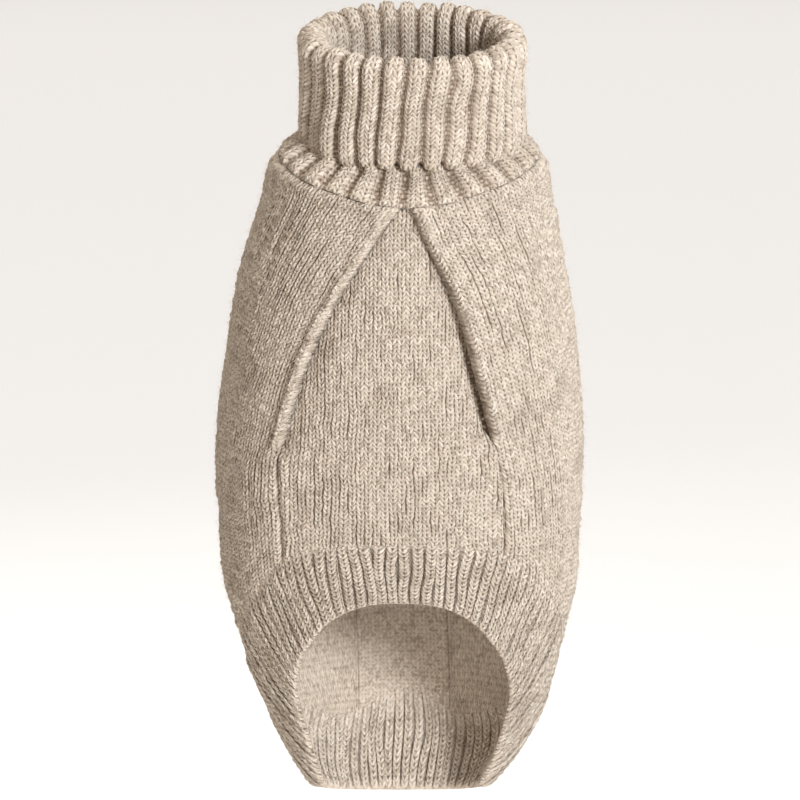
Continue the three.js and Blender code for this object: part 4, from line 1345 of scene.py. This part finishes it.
class SweaterSizes(bpy.types.PropertyGroup):
    """Sizes of the knit."""

    wale: FloatProperty(
        name="Wale width", description="Width of one column of stitches", default=0.00366, unit="LENGTH"
    )
    course: FloatProperty(
        name="Course height", description="Height of one row of stitches", default=0.0021, unit="LENGTH"
    )
    chevron: FloatProperty(name="Chevron", description="Rise of a stitch's legs, in courses", default=0.9)
    relief: FloatProperty(
        name="Stitch relief", description="Depth from legs to gaps", default=0.0012, unit="LENGTH"
    )
    uneven: FloatProperty(name="Stitch variation", description="How much stitches differ", default=0.2)
    slack: FloatProperty(
        name="Cloth unevenness", description="Height of the cloth's soft hills", default=0.0016, unit="LENGTH"
    )
    wall: FloatProperty(
        name="Cloth thickness", description="Thickness of the body's knit", default=0.0028, unit="LENGTH"
    )
    side_wales: IntProperty(name="Side panel wales", description="Wales in each side panel", default=44)
    back_wales: IntProperty(name="Spine panel wales", description="Wales in the spine panel", default=12)
    hem_ribs: IntProperty(name="Hem ribs", description="Ribs all round the hem", default=95)
    hem_crowding: FloatProperty(
        name="Hem crowding", description="How much closer ribs lie at the spine than the belly", default=0.127
    )
    hem_courses: IntProperty(name="Hem courses", description="Rows of stitches in the hem rib", default=16)
    hem_raise: FloatProperty(
        name="Hem rib raise", description="Height of a rib over its trough", default=0.0018, unit="LENGTH"
    )
    neck_ribs: IntProperty(name="Neck ribs", description="Ribs round the roll neck", default=28)
    neck_turn: FloatProperty(
        name="Neck turn", description="Degrees from the belly to one rib's centre", default=3.0
    )
    neck_raise: FloatProperty(
        name="Neck rib raise", description="Height of a rib over its trough", default=0.0033, unit="LENGTH"
    )
    seam_gap: FloatProperty(
        name="Half seam gap",
        description="Half the gap left between sewn pieces",
        default=0.00002,
        unit="LENGTH",
        precision=6,
    )
    fibre_length: FloatProperty(
        name="Fibre length", description="Length of a loose fibre", default=0.0028, unit="LENGTH"
    )
    fibre_width: FloatProperty(
        name="Fibre width",
        description="Width of a loose fibre",
        default=0.00007,
        unit="LENGTH",
        precision=6,
    )
    fibre_density: FloatProperty(
        name="Fibres per square metre", description="Loose fibres on the cloth", default=200000.0
    )


class SweaterColours(bpy.types.PropertyGroup):
    """Colours of the wool."""

    light: FloatVectorProperty(
        name="Light fibre",
        description="Palest fibres of the yarn",
        default=(0.94, 0.82, 0.69),
        subtype="COLOR",
        min=0,
        max=1,
    )
    middle: FloatVectorProperty(
        name="Middle fibre",
        description="Most of the yarn",
        default=(0.78, 0.65, 0.515),
        subtype="COLOR",
        min=0,
        max=1,
    )
    dark: FloatVectorProperty(
        name="Dark fibre",
        description="Darkest fibres of the yarn",
        default=(0.36, 0.265, 0.19),
        subtype="COLOR",
        min=0,
        max=1,
    )


def wool_colours(context):
    colours = context.scene.sweater_colours
    return tuple(colours.light), tuple(colours.middle), tuple(colours.dark)


def knit_wool(context, name):
    """The wool of a kind of knit, made once and then shared."""
    chevron = context.scene.sweater_sizes.chevron
    return bpy.data.materials.get(name) or knit_material(name, wool_colours(context), chevron)


def finish_piece(context, mesh, node, wool, relief):
    """Gives a piece its stitch relief and its place in the scene under the root, and hides the solid it
    stands for.
    """
    piece = bpy.data.objects.new(mesh.name, mesh)
    context.scene.collection.objects.link(piece)
    tree = bpy.data.node_groups.get("Knit relief") or relief_tree()
    apply_tree(piece, tree, {
        "Stitch relief": relief,
        "Unevenness": context.scene.sweater_sizes.slack,
        "Patches per metre": CLOTH_PATCHES,
        "Material": knit_wool(context, wool),
    })
    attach(piece, "root")
    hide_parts(node)
    return piece


class KnitNeck(bpy.types.Operator):
    """Knits the folded roll neck"""

    bl_idname = "sweater.knit_neck"
    bl_label = "Knit the roll neck"

    def execute(self, context):
        sizes = context.scene.sweater_sizes
        mesh = knit_neck("neck_knit", sizes, seed=11)
        piece = finish_piece(context, mesh, "roll_neck", "Rib wool", RIB_RELIEF)
        return {"FINISHED"}


class KnitBelly(bpy.types.Operator):
    """Knits the belly panel"""

    bl_idname = "sweater.knit_belly"
    bl_label = "Knit the belly panel"

    def execute(self, context):
        sizes = context.scene.sweater_sizes
        mesh = knit_belly("belly_knit", sizes, seed=23, gap=sizes.seam_gap / MM)
        piece = finish_piece(context, mesh, "belly_panel", "Stockinette wool", sizes.relief)
        return {"FINISHED"}


class KnitSides(bpy.types.Operator):
    """Knits the two side panels with their rolled leg-opening edges"""

    bl_idname = "sweater.knit_sides"
    bl_label = "Knit the side panels"

    def execute(self, context):
        sizes = context.scene.sweater_sizes
        gap = sizes.seam_gap / MM
        for name, sign, table, seed in (("left", -1, LEFT_EDGE, 31), ("right", 1, RIGHT_EDGE, 37)):
            mesh = knit_panel(
                f"side_{name}_knit",
                side_place(sign, table, gap),
                sizes.side_wales,
                seed,
                sizes,
                gap,
                slit=True,
                courses_above=45,
                courses_below=125,
                steps=(40, 60),
            )
            node = f"side_panel_{name}"
            piece = finish_piece(context, mesh, node, "Stockinette wool", sizes.relief)
        return {"FINISHED"}


class KnitBack(bpy.types.Operator):
    """Knits the narrow spine panel"""

    bl_idname = "sweater.knit_back"
    bl_label = "Knit the spine panel"

    def execute(self, context):
        sizes = context.scene.sweater_sizes
        gap = sizes.seam_gap / MM
        mesh = knit_panel(
            "back_knit",
            back_place(gap),
            sizes.back_wales,
            43,
            sizes,
            gap,
            slit=False,
            courses_above=12,
            courses_below=140,
            steps=(30, 150),
        )
        piece = finish_piece(context, mesh, "back_panel", "Stockinette wool", sizes.relief)
        return {"FINISHED"}


class KnitHem(bpy.types.Operator):
    """Knits the all-round hem rib"""

    bl_idname = "sweater.knit_hem"
    bl_label = "Knit the hem rib"

    def execute(self, context):
        sizes = context.scene.sweater_sizes
        mesh = knit_hem("hem_knit", sizes, seed=53, gap=sizes.seam_gap / MM)
        piece = finish_piece(context, mesh, "hem_band", "Rib wool", RIB_RELIEF)
        return {"FINISHED"}


# Each piece that loose fibres are raised on, and its slot.
FUZZ_SLOTS = (
    ("neck", "neck_rib"),
    ("belly", "body_knit"),
    ("side_left", "body_knit"),
    ("side_right", "body_knit"),
    ("back", "body_knit"),
    ("hem", "hem_rib"),
)


class RaiseFuzz(bpy.types.Operator):
    """Raises loose wool fibres on every knitted piece"""

    bl_idname = "sweater.raise_fuzz"
    bl_label = "Raise the loose fibres"

    def execute(self, context):
        sizes = context.scene.sweater_sizes
        tree = fuzz_tree()
        material = fibre_material("Loose fibre wool", wool_colours(context))
        for seed, (name, slot) in enumerate(FUZZ_SLOTS, start=71):
            piece = bpy.data.objects.new(f"{name}_fuzz", bpy.data.objects[f"{name}_knit"].data.copy())
            context.scene.collection.objects.link(piece)
            apply_tree(piece, tree, {
                "Fibres per square metre": sizes.fibre_density,
                "Fibre length": sizes.fibre_length,
                "Fibre width": sizes.fibre_width,
                "Seed": seed,
                "Material": material,
            })
            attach(piece, "root")
        return {"FINISHED"}


class SetStage(bpy.types.Operator):
    """Sets the floor, the studio light and the camera"""

    bl_idname = "sweater.set_stage"
    bl_label = "Set the stage"

    def execute(self, context):
        scene = context.scene
        scene.view_settings.view_transform = "Standard"
        scene.view_settings.look = "None"
        world = bpy.data.worlds.new("Studio")
        world.use_nodes = True
        world.node_tree.nodes["Background"].inputs["Color"].default_value = (1.0, 0.79, 0.58, 1)
        world.node_tree.nodes["Background"].inputs["Strength"].default_value = 0.12
        scene.world = world

        half, level = 12.0, -0.75
        mesh = bpy.data.meshes.new("floor")
        corners = [(x * half, y * half, level) for x, y in ((-1, -1), (1, -1), (1, 1), (-1, 1))]
        mesh.from_pydata(corners, [], [(0, 1, 2, 3)])
        floor = bpy.data.objects.new("floor", mesh)
        scene.collection.objects.link(floor)
        paint = bpy.data.materials.new("Pale floor")
        paint.use_nodes = True
        shader = paint.node_tree.nodes["Principled BSDF"]
        shader.inputs["Base Color"].default_value = (0.95, 0.937, 0.92, 1)
        shader.inputs["Roughness"].default_value = 0.95
        shader.inputs["Specular IOR Level"].default_value = 0.0
        mesh.materials.append(paint)

        target = np.array([0.0, 0.0, -0.108])
        for name, place, size, power, colour, spread in (
            ("right_softbox", (1.52, -0.41, 0.53), 0.8, 1.2, (0.88, 0.93, 1.0), 180.0),
            ("front_softbox", (0.815, -1.41, 0.49), 0.42, 33.5, (0.88, 0.93, 1.0), 180.0),
            ("left_softbox", (-0.71, -1.52, 0.3), 0.8, 1.9, (1.0, 0.76, 0.52), 180.0),
            ("back_softbox", (-0.45, 1.62, 0.5), 0.8, 7.0, (1.0, 0.97, 0.93), 180.0),
            ("overhead", (0.0, 0.0, 3.2), 12.0, 350.0, (1.0, 1.0, 1.0), 50.0),
        ):
            data = bpy.data.lights.new(name, "AREA")
            data.size = size
            data.energy = power
            data.color = colour
            data.spread = math.radians(spread)
            lamp = bpy.data.objects.new(name, data)
            lamp.location = place
            aim = target - np.array(place)
            tilt = math.atan2(math.hypot(aim[0], aim[1]), -aim[2])
            lamp.rotation_euler = (tilt, 0, math.atan2(-aim[0], aim[1]))
            scene.collection.objects.link(lamp)

        elevation, distance = math.radians(15.0), 2.0
        data = bpy.data.cameras.new("camera")
        data.lens = 200.0
        data.sensor_width = 36.0
        camera = bpy.data.objects.new("camera", data)
        camera.location = (0.0, -distance * math.cos(elevation), target[2] + distance * math.sin(elevation))
        camera.rotation_euler = (math.radians(90.0) - elevation, 0, 0)
        scene.collection.objects.link(camera)
        scene.camera = camera
        return {"FINISHED"}


OPERATORS = (SetStage, KnitNeck, KnitBelly, KnitSides, KnitBack, KnitHem, RaiseFuzz)


class SweaterPanel(bpy.types.Panel):
    """Lists the sweater's sizes, colours and steps"""

    bl_idname = "VIEW3D_PT_sweater"
    bl_label = "Dog sweater"
    bl_space_type = "VIEW_3D"
    bl_region_type = "UI"
    bl_category = "Sweater"

    def draw(self, context):
        column = self.layout.column()
        for group in (context.scene.sweater_sizes, context.scene.sweater_colours):
            for name in group.bl_rna.properties.keys():
                if name not in ("rna_type", "name"):
                    column.prop(group, name)
        for step in OPERATORS:
            column.operator(step.bl_idname)


CLASSES = (SweaterSizes, SweaterColours, *OPERATORS, SweaterPanel)


def register():
    for cls in CLASSES:
        bpy.utils.register_class(cls)
    bpy.types.Scene.sweater_sizes = PointerProperty(type=SweaterSizes)
    bpy.types.Scene.sweater_colours = PointerProperty(type=SweaterColours)


def unregister():
    del bpy.types.Scene.sweater_colours
    del bpy.types.Scene.sweater_sizes
    for cls in reversed(CLASSES):
        bpy.utils.unregister_class(cls)


def main():
    register()
    bpy.ops.sweater.set_stage()
    bpy.ops.sweater.knit_neck()
    bpy.ops.sweater.knit_belly()
    bpy.ops.sweater.knit_sides()
    bpy.ops.sweater.knit_back()
    bpy.ops.sweater.knit_hem()
    bpy.ops.sweater.raise_fuzz()


if __name__ == "__main__":
    main()
